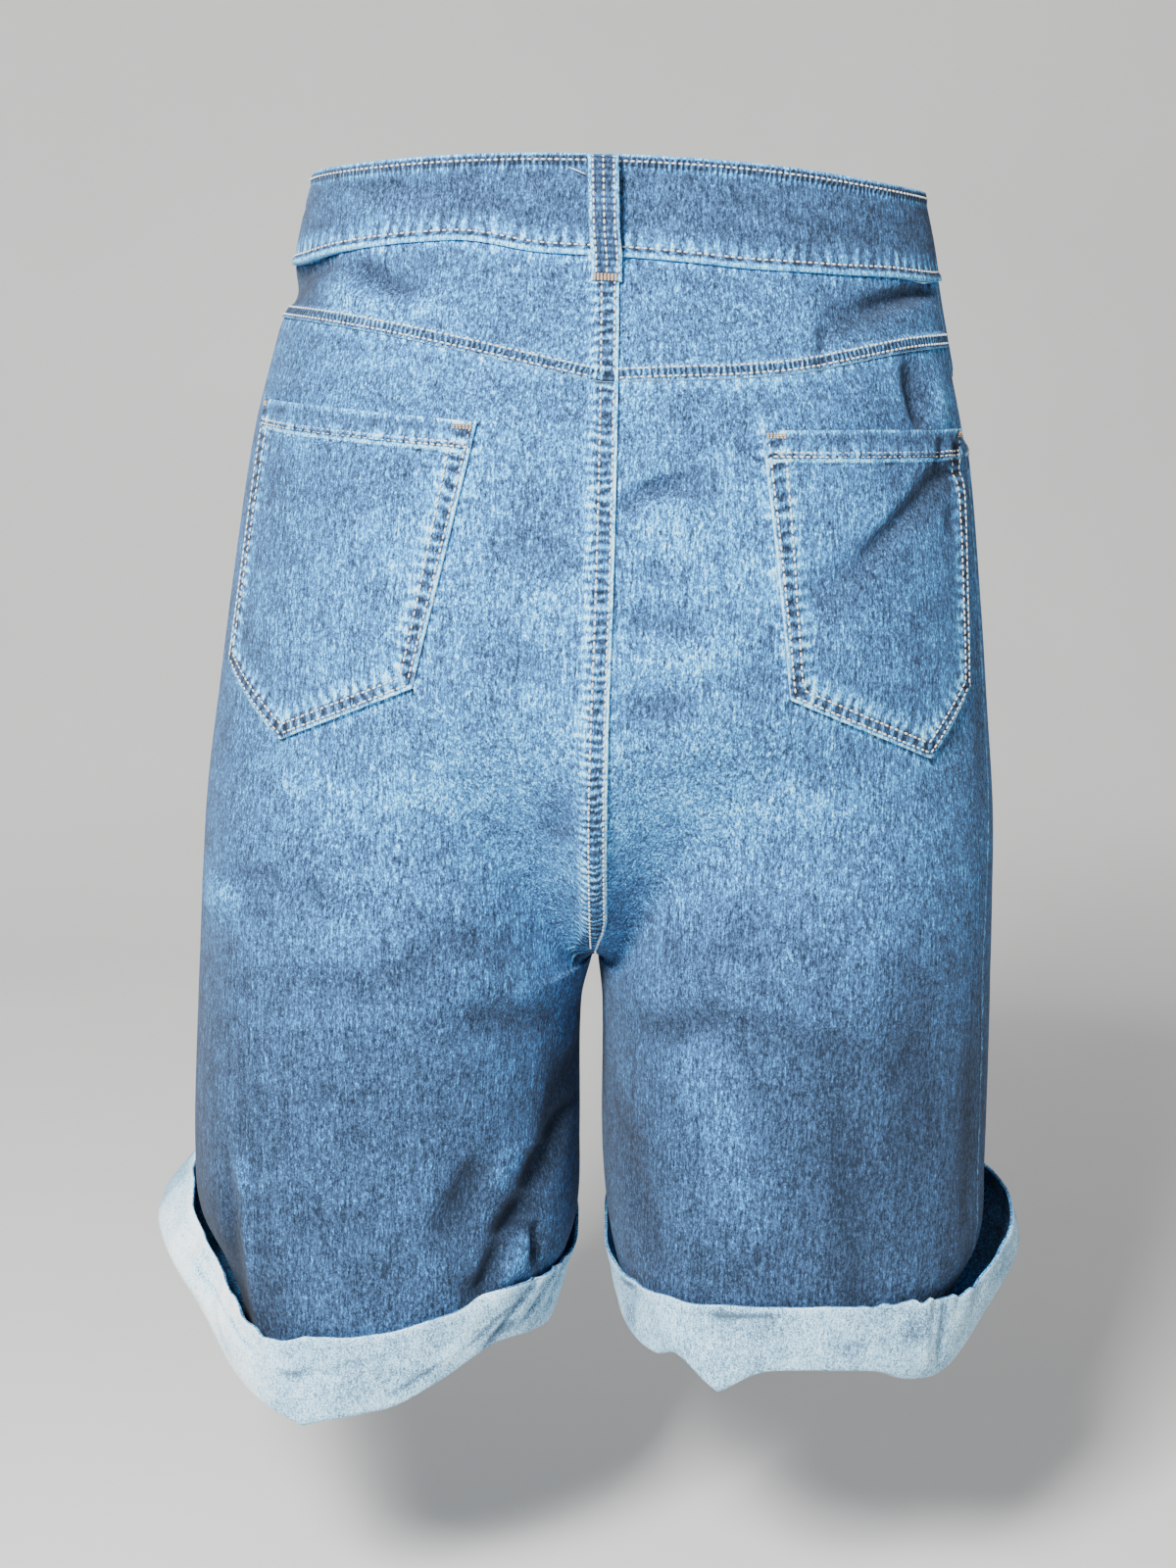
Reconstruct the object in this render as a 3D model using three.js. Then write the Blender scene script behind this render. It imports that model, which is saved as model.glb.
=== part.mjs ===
// Knee-length denim shorts with turned-up hems, filled out as if worn.
// Millimetres, +Z up. +Y is the wearer's back, -Y the front, +X the wearer's left.
// The origin is the middle of the waist opening, where the wearer's waist holds the shorts up.
import * as THREE from "three";

// Driving dimensions.
const CLOTH = 1.4; // one layer of denim
const BAND_CLOTH = 2.4; // the doubled waistband
const BAND_OUT = 0.6; // how far the waistband stands proud of the panels below it
const SEAM_GAP = 0.3; // between two pieces where they are sewn together
const HALF_GAP = SEAM_GAP / 2;
const CROTCH_Z = -345;
const SEAT_Z = -205; // where the centre seams start to curve in under the body
const CROTCH_CURVE = 2.5; // 2 is a quarter of an ellipse, more keeps the seat full for longer
const BODY_SQUARE = 2.25; // 2 is an ellipse, more is a rounder rectangle
const LEG_TOUCH = 0.5; // how near the inner legs come to the centre plane at the crotch
const CENTRE_FROM = 0.6; // share of the way from the side to the centre where the crotch's curve sets in
const NEAR = { s: 0.002, z: 0.6 }; // small steps along the cloth that give its direction

// Half width and depths of both halves together, a row for each height.
const BODY = [
  { z: 24, width: 138, back: 101, front: 95 },
  { z: 4, width: 141.5, back: 104, front: 99 },
  { z: -18, width: 145.5, back: 108, front: 104 },
  { z: -38, width: 149.5, back: 112, front: 108 },
  { z: -60, width: 154.5, back: 118, front: 112 },
  { z: -105, width: 165, back: 129, front: 118 },
  { z: -174, width: 174.5, back: 137, front: 120 },
  { z: -221, width: 180, back: 137, front: 117 },
  { z: -268, width: 185, back: 132, front: 112 },
  { z: -316, width: 187, back: 124, front: 107 },
  { z: -364, width: 188.5, back: 117, front: 103 },
  { z: -440, width: 190, back: 110, front: 98 },
  { z: -470, width: 189.5, back: 108.5, front: 96.5 },
  { z: -490, width: 181, back: 107.5, front: 95.5 },
  { z: -510, width: 172, back: 107, front: 95 },
  { z: -545, width: 166, back: 106, front: 94 },
];

// How each leg's section changes on the way down. Skew moves the outer back towards the rear.
const LEGS = {
  left: [
    { z: CROTCH_Z, inner: LEG_TOUCH, square: 2.3, skew: 0 },
    { z: -372, inner: 6, square: 2.35, skew: 2 },
    { z: -440, inner: 5, square: 2.5, skew: 6 },
    { z: -475, inner: 5, square: 2.6, skew: 9 },
    { z: -505, inner: 13, square: 2.6, skew: 12 },
    { z: -545, inner: 20, square: 2.6, skew: 14 },
  ],
  right: [
    { z: CROTCH_Z, inner: LEG_TOUCH, square: 2.3, skew: 0 },
    { z: -372, inner: 4, square: 2.4, skew: 0 },
    { z: -440, inner: 6, square: 2.6, skew: -2 },
    { z: -475, inner: 10, square: 2.8, skew: -3 },
    { z: -505, inner: 17, square: 2.9, skew: -4 },
    { z: -545, inner: 22, square: 2.9, skew: -4 },
  ],
};

// The centre back seam wanders a little sideways over the seat.
const SEAM_DRIFT = [
  { z: 24, x: 7.5 },
  { z: -18, x: 5.5 },
  { z: -75, x: 4 },
  { z: -150, x: 3.3 },
  { z: -250, x: 3.3 },
  { z: CROTCH_Z, x: 0 },
];
const DRIFT_REACH = 60;

// How far the side seams sit behind the widest line, as a share of the way round.
const SIDE_SEAM = { left: 0.02, right: 0.08 };

// Seams that run round the body, at the centre back, the side and the centre front.
const BAND_TOP = { back: 19.5, side: 11, front: 5 };
const BAND_SEAM = { back: -18, side: -26.5, front: -33 };
const YOKE_SEAM = { back: -75, side: -53 };
const YOKE_POINT = 2.5; // how sharply the yoke comes down to its point at the centre back

// Folds keep this share of their depth at their ends, and die out this near to the side and centre seams.
const FOLD_ENDS = 0.25;
const CALM = { side: 0.04, centre: 0.03 };

// The largest folds. Each is a soft trough (depth below zero) or ridge between two places given as x and z.
const FOLDS = [
  { face: "back", from: [150, -36], to: [86, -44], depth: -4.5, width: 8 },
  { face: "back", from: [-152, -38], to: [-112, -56], depth: -5, width: 8 },
  { face: "back", from: [-140, -64], to: [-134, -92], depth: -4, width: 6 },
  { face: "back", from: [-134, -104], to: [-96, -168], depth: -3.5, width: 8 },
  { face: "back", from: [-146, -112], to: [-140, -170], depth: -3, width: 6 },
  { face: "back", from: [-8, -128], to: [-48, -114], depth: -2.2, width: 9 },
  { face: "back", from: [-6, -158], to: [-60, -172], depth: -2, width: 10 },
  { face: "back", from: [10, -150], to: [56, -140], depth: -1.8, width: 10 },
  { face: "back", from: [-4, -222], to: [-58, -206], depth: -2, width: 12 },
  { face: "back", from: [152, -385], to: [147, -540], depth: 4, width: 9 },
  { face: "back", from: [168, -300], to: [176, -322], depth: 3, width: 8 },
  { face: "back", from: [4, -440], to: [50, -512], depth: -10, width: 9 },
  { face: "back", from: [34, -450], to: [74, -515], depth: -5, width: 9 },
  { face: "back", from: [20, -478], to: [22, -515], depth: -5, width: 5 },
  { face: "back", from: [-60, -400], to: [-78, -505], depth: 2.5, width: 16 },
  { face: "back", from: [-176, -110], to: [-181, -300], depth: -3, width: 7 },
  { face: "back", from: [-182, -330], to: [-182, -470], depth: -4, width: 8 },
  { face: "front", from: [30, -290], to: [96, -262], depth: -3.5, width: 9 },
  { face: "front", from: [34, -320], to: [90, -306], depth: -3, width: 8 },
  { face: "front", from: [-30, -286], to: [-98, -256], depth: -3.5, width: 9 },
  { face: "front", from: [-34, -324], to: [-86, -312], depth: -3, width: 8 },
  { face: "front", from: [60, -420], to: [120, -500], depth: -4, width: 12 },
  { face: "front", from: [-50, -400], to: [-110, -492], depth: -4, width: 12 },
];

// The turned-up hems round each leg: the height of the fold line, how far the cuff rises above it, and how
// far it stands off the leg at its foot, halfway up and at its rim.
// Turn 0 is the inseam, 0.25 the middle of the front, 0.5 the outside of the leg and 0.75 the middle
// of the back.
const CUFFS = {
  left: [
    { turn: 0, fold: -514, height: 25, foot: 1, bulge: 3, rim: 2.5 },
    { turn: 0.12, fold: -511, height: 31, foot: 2, bulge: 4, rim: 3 },
    { turn: 0.25, fold: -506, height: 34, foot: 4, bulge: 6, rim: 5 },
    { turn: 0.36, fold: -503, height: 36, foot: 11, bulge: 14, rim: 9 },
    { turn: 0.44, fold: -504, height: 42, foot: 18, bulge: 21, rim: 9 },
    { turn: 0.5, fold: -510, height: 50, foot: 20, bulge: 23, rim: 4 },
    { turn: 0.54, fold: -517, height: 41, foot: 17, bulge: 20, rim: 4 },
    { turn: 0.58, fold: -529, height: 37, foot: 14, bulge: 14, rim: 4 },
    { turn: 0.63, fold: -541, height: 36, foot: 9, bulge: 9, rim: 7 },
    { turn: 0.665, fold: -547, height: 39, foot: 6, bulge: 6, rim: 5 },
    { turn: 0.69, fold: -549, height: 43, foot: 3, bulge: 3, rim: 2.5 },
    { turn: 0.74, fold: -540, height: 35.5, foot: 1, bulge: 2.5, rim: 2.5 },
    { turn: 0.78, fold: -529, height: 32, foot: 1, bulge: 2.5, rim: 2.5 },
    { turn: 0.84, fold: -515, height: 26, foot: 1, bulge: 2.5, rim: 2.5 },
    { turn: 0.9, fold: -517, height: 27, foot: 1, bulge: 2.5, rim: 2.5 },
    { turn: 0.95, fold: -521, height: 31, foot: 1, bulge: 2.5, rim: 2.5 },
    { turn: 1, fold: -514, height: 25, foot: 1, bulge: 3, rim: 2.5 },
  ],
  right: [
    { turn: 0, fold: -512, height: 25, foot: 1, bulge: 3, rim: 2.5 },
    { turn: 0.12, fold: -505, height: 31, foot: 2, bulge: 4, rim: 3 },
    { turn: 0.25, fold: -500, height: 34, foot: 4, bulge: 6, rim: 5 },
    { turn: 0.34, fold: -499, height: 35, foot: 10, bulge: 12, rim: 8 },
    { turn: 0.4, fold: -500, height: 36, foot: 18, bulge: 20, rim: 13 },
    { turn: 0.44, fold: -505, height: 39, foot: 22, bulge: 24, rim: 14 },
    { turn: 0.48, fold: -515, height: 40, foot: 17, bulge: 17, rim: 11 },
    { turn: 0.52, fold: -525, height: 40, foot: 12, bulge: 13, rim: 9 },
    { turn: 0.58, fold: -522, height: 37, foot: 8, bulge: 7, rim: 4 },
    { turn: 0.62, fold: -516, height: 31.5, foot: 4, bulge: 4, rim: 3 },
    { turn: 0.66, fold: -514.5, height: 30.5, foot: 1.5, bulge: 2.5, rim: 2.5 },
    { turn: 0.71, fold: -515, height: 30, foot: 1, bulge: 2.5, rim: 2.5 },
    { turn: 0.76, fold: -524, height: 38, foot: 1, bulge: 2.5, rim: 2.5 },
    { turn: 0.82, fold: -512, height: 26, foot: 1, bulge: 2.5, rim: 2.5 },
    { turn: 0.86, fold: -516, height: 29, foot: 1, bulge: 2.5, rim: 2.5 },
    { turn: 0.93, fold: -515, height: 28, foot: 1, bulge: 2.5, rim: 2.5 },
    { turn: 1, fold: -512, height: 25, foot: 1, bulge: 3, rim: 2.5 },
  ],
};

// The cuff's section: how far its inner edge is tucked in, how round its fold is, the slack over the hem,
// the height of its foot's bend, and the shares of the foot's standoff under it.
const CUFF_SECTION = { tuck: 0.4, toe: 1, round: 0.9, roll: 0.8, slack: 1.2, bend: 6, near: 0.3, far: 0.8 };

// Back pockets: distances round the body from the centre back seam, and heights.
const POCKET = {
  topZ: -93,
  cornerZ: -206,
  pointZ: -235,
  left: { innerTop: 53, innerCorner: 79, outerTop: 179, outerCorner: 196, point: 4, outerRise: 4 },
  right: { innerTop: 67, innerCorner: 84, outerTop: 188, outerCorner: 190, point: 3, outerRise: 0 },
};

// Front pocket mouths: a quarter of an ellipse from the waistband seam out to the side seam.
const MOUTH = { share: 0.27, endZ: -104, crowding: 1.35 };
// The cloth behind it: how far it reaches under the front and below the mouth, and how it steps down.
const FACING = { under: 0.09, below: 16, rise: 30, drop: 1.6, flushAfter: 0.02, ramp: 0.05 };

// The left front laps over the right at the fly.
const FLY = { endZ: -185, lap: 0.028, lift: 2.3, flatTo: 0.035, ramp: 0.09, rampZ: 24, rampRows: 1.5 };
const BAND_LAP = { under: 0.07, over: 0.03, ramp: 0.06 };

// A belt loop: its strap, its gap, how it bends over at the top and down to its foot below the waistband.
const LOOP = { width: 13, cloth: 1.8, gap: 6.2, below: 15, bend: 3.5, ease: 0.6, foot: 8, footShare: 0.4 };
const LOOP_PLACES = [
  { name: "belt_loop_back", side: 1, s: 1 },
  { name: "belt_loop_side_left", side: 1, s: 0.38 },
  { name: "belt_loop_side_right", side: -1, s: 0.34 },
  { name: "belt_loop_front_left", side: 1, s: 0.17 },
  { name: "belt_loop_front_right", side: -1, s: 0.17 },
];

const BUTTON = { radius: 8.5, thickness: 4, s: 0.004, shank: 0.5 };

// Grid sizes, as numbers of steps.
const BACK_COLUMNS = { outer: 3, pocket: 9, inner: 5 };
const BACK_ROWS = { abovePocket: 1, pocket: 8, seat: 8, leg: 11 };
const FRONT_COLUMNS = 12;
const FRONT_ROWS = { mouth: 6, hip: 5, leg: 8 };
const SIDE_ROW_Z = -365; // height at the side seam of the row that meets the crotch
const ROWS_CURVE_FROM = 0.4; // share of the way to the centre where rows start to follow the centre seam
const YOKE_ROWS = 3;
const BAND_STEPS = 60;
const BAND_ROWS = 2;
const FACING_STEPS = 6;
const BUTTON_STEPS = 14;

const COLOURS = {
  denim: { color: 0x6f93bd, roughness: 0.9, metalness: 0 },
  reverse: { color: 0xc3d0d8, roughness: 0.95, metalness: 0 },
  metal: { color: 0xa8865a, roughness: 0.35, metalness: 1 },
};
const materials = Object.fromEntries(
  Object.entries(COLOURS).map(([name, look]) => [name, new THREE.MeshStandardMaterial(look)]),
);

const shorts = new THREE.Group();

const clamp = (x) => Math.min(1, Math.max(0, x));
const smooth = (x) => clamp(x) ** 2 * (3 - 2 * clamp(x));
const mix = (a, b, t) => a + (b - a) * t;
const sideName = (side) => (side > 0 ? "left" : "right");

// Reads a column of a table at any place, by a smooth curve through its rows.
function read(rows, place, key, where) {
  const ascending = rows[0][place] < rows[rows.length - 1][place] ? rows : [...rows].reverse();
  const last = ascending.length - 1;
  let k = 0;
  while (k < last - 1 && where > ascending[k + 1][place]) k++;
  const slope = (i) => {
    const a = ascending[Math.max(0, i - 1)];
    const b = ascending[Math.min(last, i + 1)];
    return (b[key] - a[key]) / (b[place] - a[place]);
  };
  const [a, b] = [ascending[k], ascending[k + 1]];
  const span = b[place] - a[place];
  const t = clamp((where - a[place]) / span);
  return (
    a[key] * (1 + 2 * t) * (1 - t) ** 2 +
    slope(k) * span * t * (1 - t) ** 2 +
    b[key] * t * t * (3 - 2 * t) +
    slope(k + 1) * span * t * t * (t - 1)
  );
}

// A point of the unit superellipse.
function roundedCorner(angle, square) {
  const power = (v) => Math.sign(v) * Math.abs(v) ** (2 / square);
  return [power(Math.cos(angle)), power(Math.sin(angle))];
}

// Share of the leg's own section at a place, from 0 on the body to 1 on the leg.
function legShare(s, z) {
  const down = clamp((SEAT_Z - z) / (SEAT_Z - CROTCH_Z));
  const underBody = 1 - (1 - down ** CROTCH_CURVE) ** (1 / CROTCH_CURVE);
  const nearCentre = clamp((Math.abs(s - 0.5) * 2 - CENTRE_FROM) / (1 - CENTRE_FROM)) ** 2;
  return mix(smooth(down), underBody, nearCentre);
}

// The cloth before its folds. s runs from the centre front or inseam (0) round the outside of the leg (0.5)
// to the centre back or inseam (1).
function plainCloth(side, s, z) {
  if (z > CROTCH_Z && (s > 1 || s < 0)) return plainCloth(-side, s > 1 ? 2 - s : -s, z);
  const turn = s > 1 ? s - 1 : s < 0 ? s + 1 : s;
  const body = (key) => read(BODY, "z", key, z);
  const leg = (key) => read(LEGS[sideName(side)], "z", key, Math.min(z, CROTCH_Z));
  const depth = (sine) => (sine > 0 ? body("back") : body("front"));
  const seamShift = SIDE_SEAM[sideName(side)] * Math.sin(Math.PI * turn) ** 2;
  const [bodyX, bodyY] = roundedCorner((turn + seamShift - 0.5) * Math.PI, BODY_SQUARE);
  const [legX, legY] = roundedCorner((turn + seamShift - 0.5) * 2 * Math.PI, leg("square"));
  const middle = (body("width") + leg("inner")) / 2;
  const radius = (body("width") - leg("inner")) / 2;
  const share = legShare(turn, z);
  const skewed = legY > 0 ? leg("skew") * legX * legY : 0;
  const x = mix(body("width") * bodyX, middle + radius * legX, share);
  const y = mix(depth(bodyY) * bodyY, depth(legY) * legY + skewed, share);
  const drift = z > CROTCH_Z && turn > 0.5 ? read(SEAM_DRIFT, "z", "x", z) : 0;
  return new THREE.Vector3(side * x + drift * Math.exp(-((x / DRIFT_REACH) ** 2)), y, z);
}

// Outward direction of the cloth, from places a little to each side of it.
function outward(side, s, z) {
  const across = plainCloth(side, s + NEAR.s, z).sub(plainCloth(side, s - NEAR.s, z));
  const down = plainCloth(side, s, z - NEAR.z).sub(plainCloth(side, s, z + NEAR.z));
  return across.cross(down).multiplyScalar(-side).normalize();
}

// Height of all the folds at a place.
function foldHeight(x, z, face) {
  let height = 0;
  for (const fold of FOLDS) {
    if (fold.face !== face) continue;
    const [dx, dz] = [fold.to[0] - fold.from[0], fold.to[1] - fold.from[1]];
    const along = clamp(((x - fold.from[0]) * dx + (z - fold.from[1]) * dz) / (dx * dx + dz * dz));
    const away = Math.hypot(x - fold.from[0] - along * dx, z - fold.from[1] - along * dz);
    const taper = 1 - Math.abs(2 * along - 1) ** 3;
    height += fold.depth * Math.exp(-((away / fold.width) ** 2)) * mix(FOLD_ENDS, 1, taper);
  }
  return height;
}

// The outer surface of the cloth, with its folds. They die out at the seams that meet in a point.
function cloth(side, s, z) {
  const point = plainCloth(side, s, z);
  const turn = s > 1 ? 2 - s : Math.abs(s);
  const height = foldHeight(point.x, z, turn > 0.5 ? "back" : "front");
  const calm = smooth(Math.abs(turn - 0.5) / CALM.side);
  const flat = smooth(Math.min(turn, 1 - turn) / CALM.centre);
  return point.addScaledVector(outward(side, s, z), height * calm * flat);
}

const clothOut = (side, s, z, out) => cloth(side, s, z).addScaledVector(outward(side, s, z), out);

// s beside a seam that runs down the cloth, half a seam gap from it.
function beside(side, seamS, z, way) {
  const perStep = plainCloth(side, seamS + way * NEAR.s, z).distanceTo(plainCloth(side, seamS, z));
  return seamS + (way * NEAR.s * HALF_GAP) / perStep;
}

// Heights of the seams that run round the body: s is 0 at the front, 0.5 at the side and 1 at the back.
function seamHeight(seam, s) {
  const turn = clamp(Math.abs(s) > 1 ? 2 - Math.abs(s) : Math.abs(s));
  return turn >= 0.5
    ? mix(seam.side, seam.back, smooth((turn - 0.5) * 2))
    : mix(seam.front, seam.side, smooth(turn * 2));
}

const yokeHeight = (s) => mix(YOKE_SEAM.side, YOKE_SEAM.back, clamp((s - 0.5) * 2) ** YOKE_POINT);

// s at a distance round the body from the centre back seam.
function fromCentreBack(side, distance, z) {
  const step = 0.004;
  let walked = 0;
  let s = 1;
  while (walked < distance && s > step) {
    walked += plainCloth(side, s, z).distanceTo(plainCloth(side, s - step, z));
    s -= step;
  }
  return s;
}

// Turns a list of triangles round if they face inwards.
function facingOut(positions, triangles) {
  const [a, b, c] = [0, 1, 2].map(() => new THREE.Vector3());
  let volume = 0;
  for (let i = 0; i < triangles.length; i += 3) {
    a.fromArray(positions, triangles[i] * 3);
    b.fromArray(positions, triangles[i + 1] * 3);
    c.fromArray(positions, triangles[i + 2] * 3);
    volume += a.dot(b.cross(c));
  }
  return volume > 0 ? triangles : [...triangles].reverse();
}

function addMesh(name, look, points, triangles) {
  const positions = points.flatMap((p) => p.toArray());
  const geometry = new THREE.BufferGeometry();
  geometry.setAttribute("position", new THREE.Float32BufferAttribute(positions, 3));
  geometry.setIndex(facingOut(positions, triangles));
  geometry.computeVertexNormals();
  const mesh = new THREE.Mesh(geometry, materials[look]);
  mesh.name = name;
  shorts.add(mesh);
}

const quad = (a, b, c, d) => [a, b, c, a, c, d];

// A piece of cloth: a closed wall between a grid of outer points and one of inner points.
function addWall(name, look, outer, inner) {
  const rows = outer.length;
  const columns = outer[0].length;
  const half = rows * columns;
  const at = (layer, r, c) => layer * half + r * columns + c;
  const triangles = [];
  for (let r = 0; r < rows - 1; r++) {
    for (let c = 0; c < columns - 1; c++) {
      triangles.push(...quad(at(0, r, c), at(0, r + 1, c), at(0, r + 1, c + 1), at(0, r, c + 1)));
      triangles.push(...quad(at(1, r, c), at(1, r, c + 1), at(1, r + 1, c + 1), at(1, r + 1, c)));
    }
  }
  for (let r = 0; r < rows - 1; r++) {
    triangles.push(...quad(at(0, r, 0), at(1, r, 0), at(1, r + 1, 0), at(0, r + 1, 0)));
    const e = columns - 1;
    triangles.push(...quad(at(0, r, e), at(0, r + 1, e), at(1, r + 1, e), at(1, r, e)));
  }
  for (let c = 0; c < columns - 1; c++) {
    triangles.push(...quad(at(0, 0, c), at(0, 0, c + 1), at(1, 0, c + 1), at(1, 0, c)));
    const e = rows - 1;
    triangles.push(...quad(at(0, e, c), at(1, e, c), at(1, e, c + 1), at(0, e, c + 1)));
  }
  addMesh(name, look, [...outer.flat(), ...inner.flat()], triangles);
}

// A wall over a grid of places. place(r, c) gives side, s and z, and lift how far out the outer face lies.
function addPanel(name, look, rows, columns, place, { lift = () => 0, thickness = CLOTH } = {}) {
  const face = (depth) =>
    Array.from({ length: rows + 1 }, (_, r) =>
      Array.from({ length: columns + 1 }, (_, c) => {
        const { side, s, z } = place(r, c);
        return clothOut(side, s, z, lift(s, z) - depth);
      }),
    );
  addWall(name, look, face(0), face(thickness));
}

// Share of the way down a centre seam after a share of its length: straight, then a quarter circle
// under the body.
function centreSeamDrop(share, topZ) {
  const straight = Math.max(0, topZ - SEAT_Z);
  const radius = SEAT_Z - CROTCH_Z;
  const start = Math.asin(clamp((SEAT_Z - topZ) / radius));
  const walked = share * (straight + radius * (Math.PI / 2 - start));
  const angle = start + Math.max(0, walked - straight) / radius;
  const drop = Math.min(walked, straight) + radius * (Math.sin(angle) - Math.sin(start));
  return drop / (topZ - CROTCH_Z);
}

// Height of a row of a panel between its top and the level of the crotch.
function bodyRow(s, share, topZ, sideShare = share) {
  const towardsCentre = smooth((Math.abs(s - 0.5) * 2 - ROWS_CURVE_FROM) / (1 - ROWS_CURVE_FROM));
  const bottom = mix(SIDE_ROW_Z, CROTCH_Z, towardsCentre);
  return mix(topZ, bottom, mix(sideShare, centreSeamDrop(share, topZ), towardsCentre));
}

const hemFold = (side, s) => read(CUFFS[sideName(side)], "turn", "fold", clamp(s));

// Places of the back panel's columns, with two of them along the pocket's sides.
function backColumn(side, column, z) {
  const { outer, pocket, inner } = BACK_COLUMNS;
  const shape = POCKET[sideName(side)];
  const down = clamp((POCKET.topZ - z) / (POCKET.topZ - POCKET.cornerZ));
  const heldZ = Math.max(z, POCKET.cornerZ);
  const outerSide = fromCentreBack(side, mix(shape.outerTop, shape.outerCorner, down), heldZ);
  const innerSide = fromCentreBack(side, mix(shape.innerTop, shape.innerCorner, down), heldZ);
  const legColumn = mix(0.5, 1, column / (outer + pocket + inner));
  const low = smooth((POCKET.pointZ - z) / (POCKET.pointZ - CROTCH_Z));
  let s;
  if (column <= outer) s = mix(0.5, outerSide, column / outer);
  else if (column <= outer + pocket) s = mix(outerSide, innerSide, (column - outer) / pocket);
  else s = mix(innerSide, 1, (column - outer - pocket) / inner);
  return Math.min(beside(side, 1, z, -1), Math.max(beside(side, 0.5, z, 1), mix(s, legColumn, low)));
}

const yokeColumn = (side, column) => backColumn(side, column, YOKE_SEAM.back);

// Bottom edge of the pocket, a flat V between its two corners, with its point on one of the columns.
function pocketBottom(side, column) {
  const { point } = POCKET[sideName(side)];
  const across = column - BACK_COLUMNS.outer;
  const beyond = (BACK_COLUMNS.pocket - across) / (BACK_COLUMNS.pocket - point);
  const rise = Math.min(across / point, beyond);
  return mix(POCKET.cornerZ, POCKET.pointZ, clamp(rise));
}

// Top edge of the pocket, a little higher on its outer side.
function pocketTop(side, column) {
  const inwards = clamp((column - BACK_COLUMNS.outer) / BACK_COLUMNS.pocket);
  return POCKET.topZ + POCKET[sideName(side)].outerRise * (1 - inwards);
}

// Place of a grid point of the back panel. Its rows follow the yoke, the pocket, the crotch and the hem
// in turn.
function backPlace(side, row, column) {
  const { abovePocket, pocket, seat, leg } = BACK_ROWS;
  const last = BACK_COLUMNS.outer + BACK_COLUMNS.pocket + BACK_COLUMNS.inner;
  const nearS = mix(0.5, 1, column / last);
  let z;
  if (row <= abovePocket)
    z = mix(yokeHeight(yokeColumn(side, column)) - HALF_GAP, pocketTop(side, column), row / abovePocket);
  else if (row <= abovePocket + pocket)
    z = mix(pocketTop(side, column), pocketBottom(side, column), (row - abovePocket) / pocket);
  else if (row <= abovePocket + pocket + seat)
    z = bodyRow(nearS, (row - abovePocket - pocket) / seat, pocketBottom(side, column));
  else
    z = mix(
      bodyRow(nearS, 1, 0),
      hemFold(side, nearS),
      (row - abovePocket - pocket - seat) / leg,
    );
  return { side, s: backColumn(side, column, z), z };
}

function addBack(side) {
  const rows = Object.values(BACK_ROWS).reduce((a, b) => a + b);
  const columns = Object.values(BACK_COLUMNS).reduce((a, b) => a + b);
  addPanel(`back_panel_${sideName(side)}`, "denim", rows, columns, (r, c) => backPlace(side, r, c));
}

function addYoke(side) {
  const columns = BACK_COLUMNS.outer + BACK_COLUMNS.pocket + BACK_COLUMNS.inner;
  addPanel(`back_yoke_${sideName(side)}`, "denim", YOKE_ROWS, columns, (r, c) => {
    const s = yokeColumn(side, c);
    const top = seamHeight(BAND_SEAM, s) - HALF_GAP;
    return { side, s, z: mix(top, yokeHeight(s) + HALF_GAP, r / YOKE_ROWS) };
  });
}

// The pocket is a part of the back panel's own grid, moved out.
function addBackPocket(side) {
  const { outer, pocket } = BACK_COLUMNS;
  const place = (r, c) => backPlace(side, r + BACK_ROWS.abovePocket, c + outer);
  const lift = () => CLOTH + SEAM_GAP;
  addPanel(`back_pocket_${sideName(side)}`, "denim", BACK_ROWS.pocket, pocket, place, { lift });
}

// s of the front pocket's mouth at a height, and the side seam below its end.
function mouthEdge(z) {
  const top = BAND_SEAM.side;
  const down = clamp((top - z) / (top - MOUTH.endZ));
  return mix(MOUTH.share, 0.5, 1 - Math.sqrt(1 - down * down));
}

// How far the left front is lifted over the right at the fly.
function flyLift(side, s, z) {
  if (side < 0) return 0;
  const high = smooth((z - FLY.endZ) / FLY.rampZ + FLY.rampRows);
  return FLY.lift * high * smooth((FLY.ramp - s) / (FLY.ramp - FLY.flatTo));
}

function frontPlace(side, row, column) {
  const { mouth, hip, leg } = FRONT_ROWS;
  const body = hip + BACK_ROWS.seat;
  const share = column / FRONT_COLUMNS;
  const nearS = mix(0, 0.5, share);
  const top = seamHeight(BAND_SEAM, MOUTH.share * share) - HALF_GAP;
  // The first rows end on the pocket's mouth, closer together towards its lower end.
  const down = Math.sin((1 - (1 - Math.min(1, row / mouth)) ** MOUTH.crowding) * (Math.PI / 2));
  let z;
  if (row <= mouth) z = mix(top, MOUTH.endZ, down);
  else if (row <= mouth + body) {
    const hipShare = (MOUTH.endZ - POCKET.cornerZ) / (MOUTH.endZ - SIDE_ROW_Z);
    const below = row - mouth;
    const sideShare =
      below < hip ? (hipShare * below) / hip : mix(hipShare, 1, (below - hip) / BACK_ROWS.seat);
    z = bodyRow(nearS, below / body, MOUTH.endZ, sideShare);
  }
  else z = mix(bodyRow(nearS, 1, 0), hemFold(side, nearS), (row - mouth - body) / leg);
  const outerEdge = row <= mouth ? mouthEdge(z) : 0.5;
  const lap = side > 0 && z > FLY.endZ ? FLY.lap : 0;
  return { side, s: mix(beside(side, 0, z, 1) - lap, beside(side, outerEdge, z, -1), share), z };
}

function addFront(side) {
  const rows = FRONT_ROWS.mouth + FRONT_ROWS.hip + BACK_ROWS.seat + FRONT_ROWS.leg;
  const place = (r, c) => frontPlace(side, r, c);
  const lift = (s, z) => flyLift(side, s, z);
  addPanel(`front_panel_${sideName(side)}`, "denim", rows, FRONT_COLUMNS, place, { lift });
}

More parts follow.
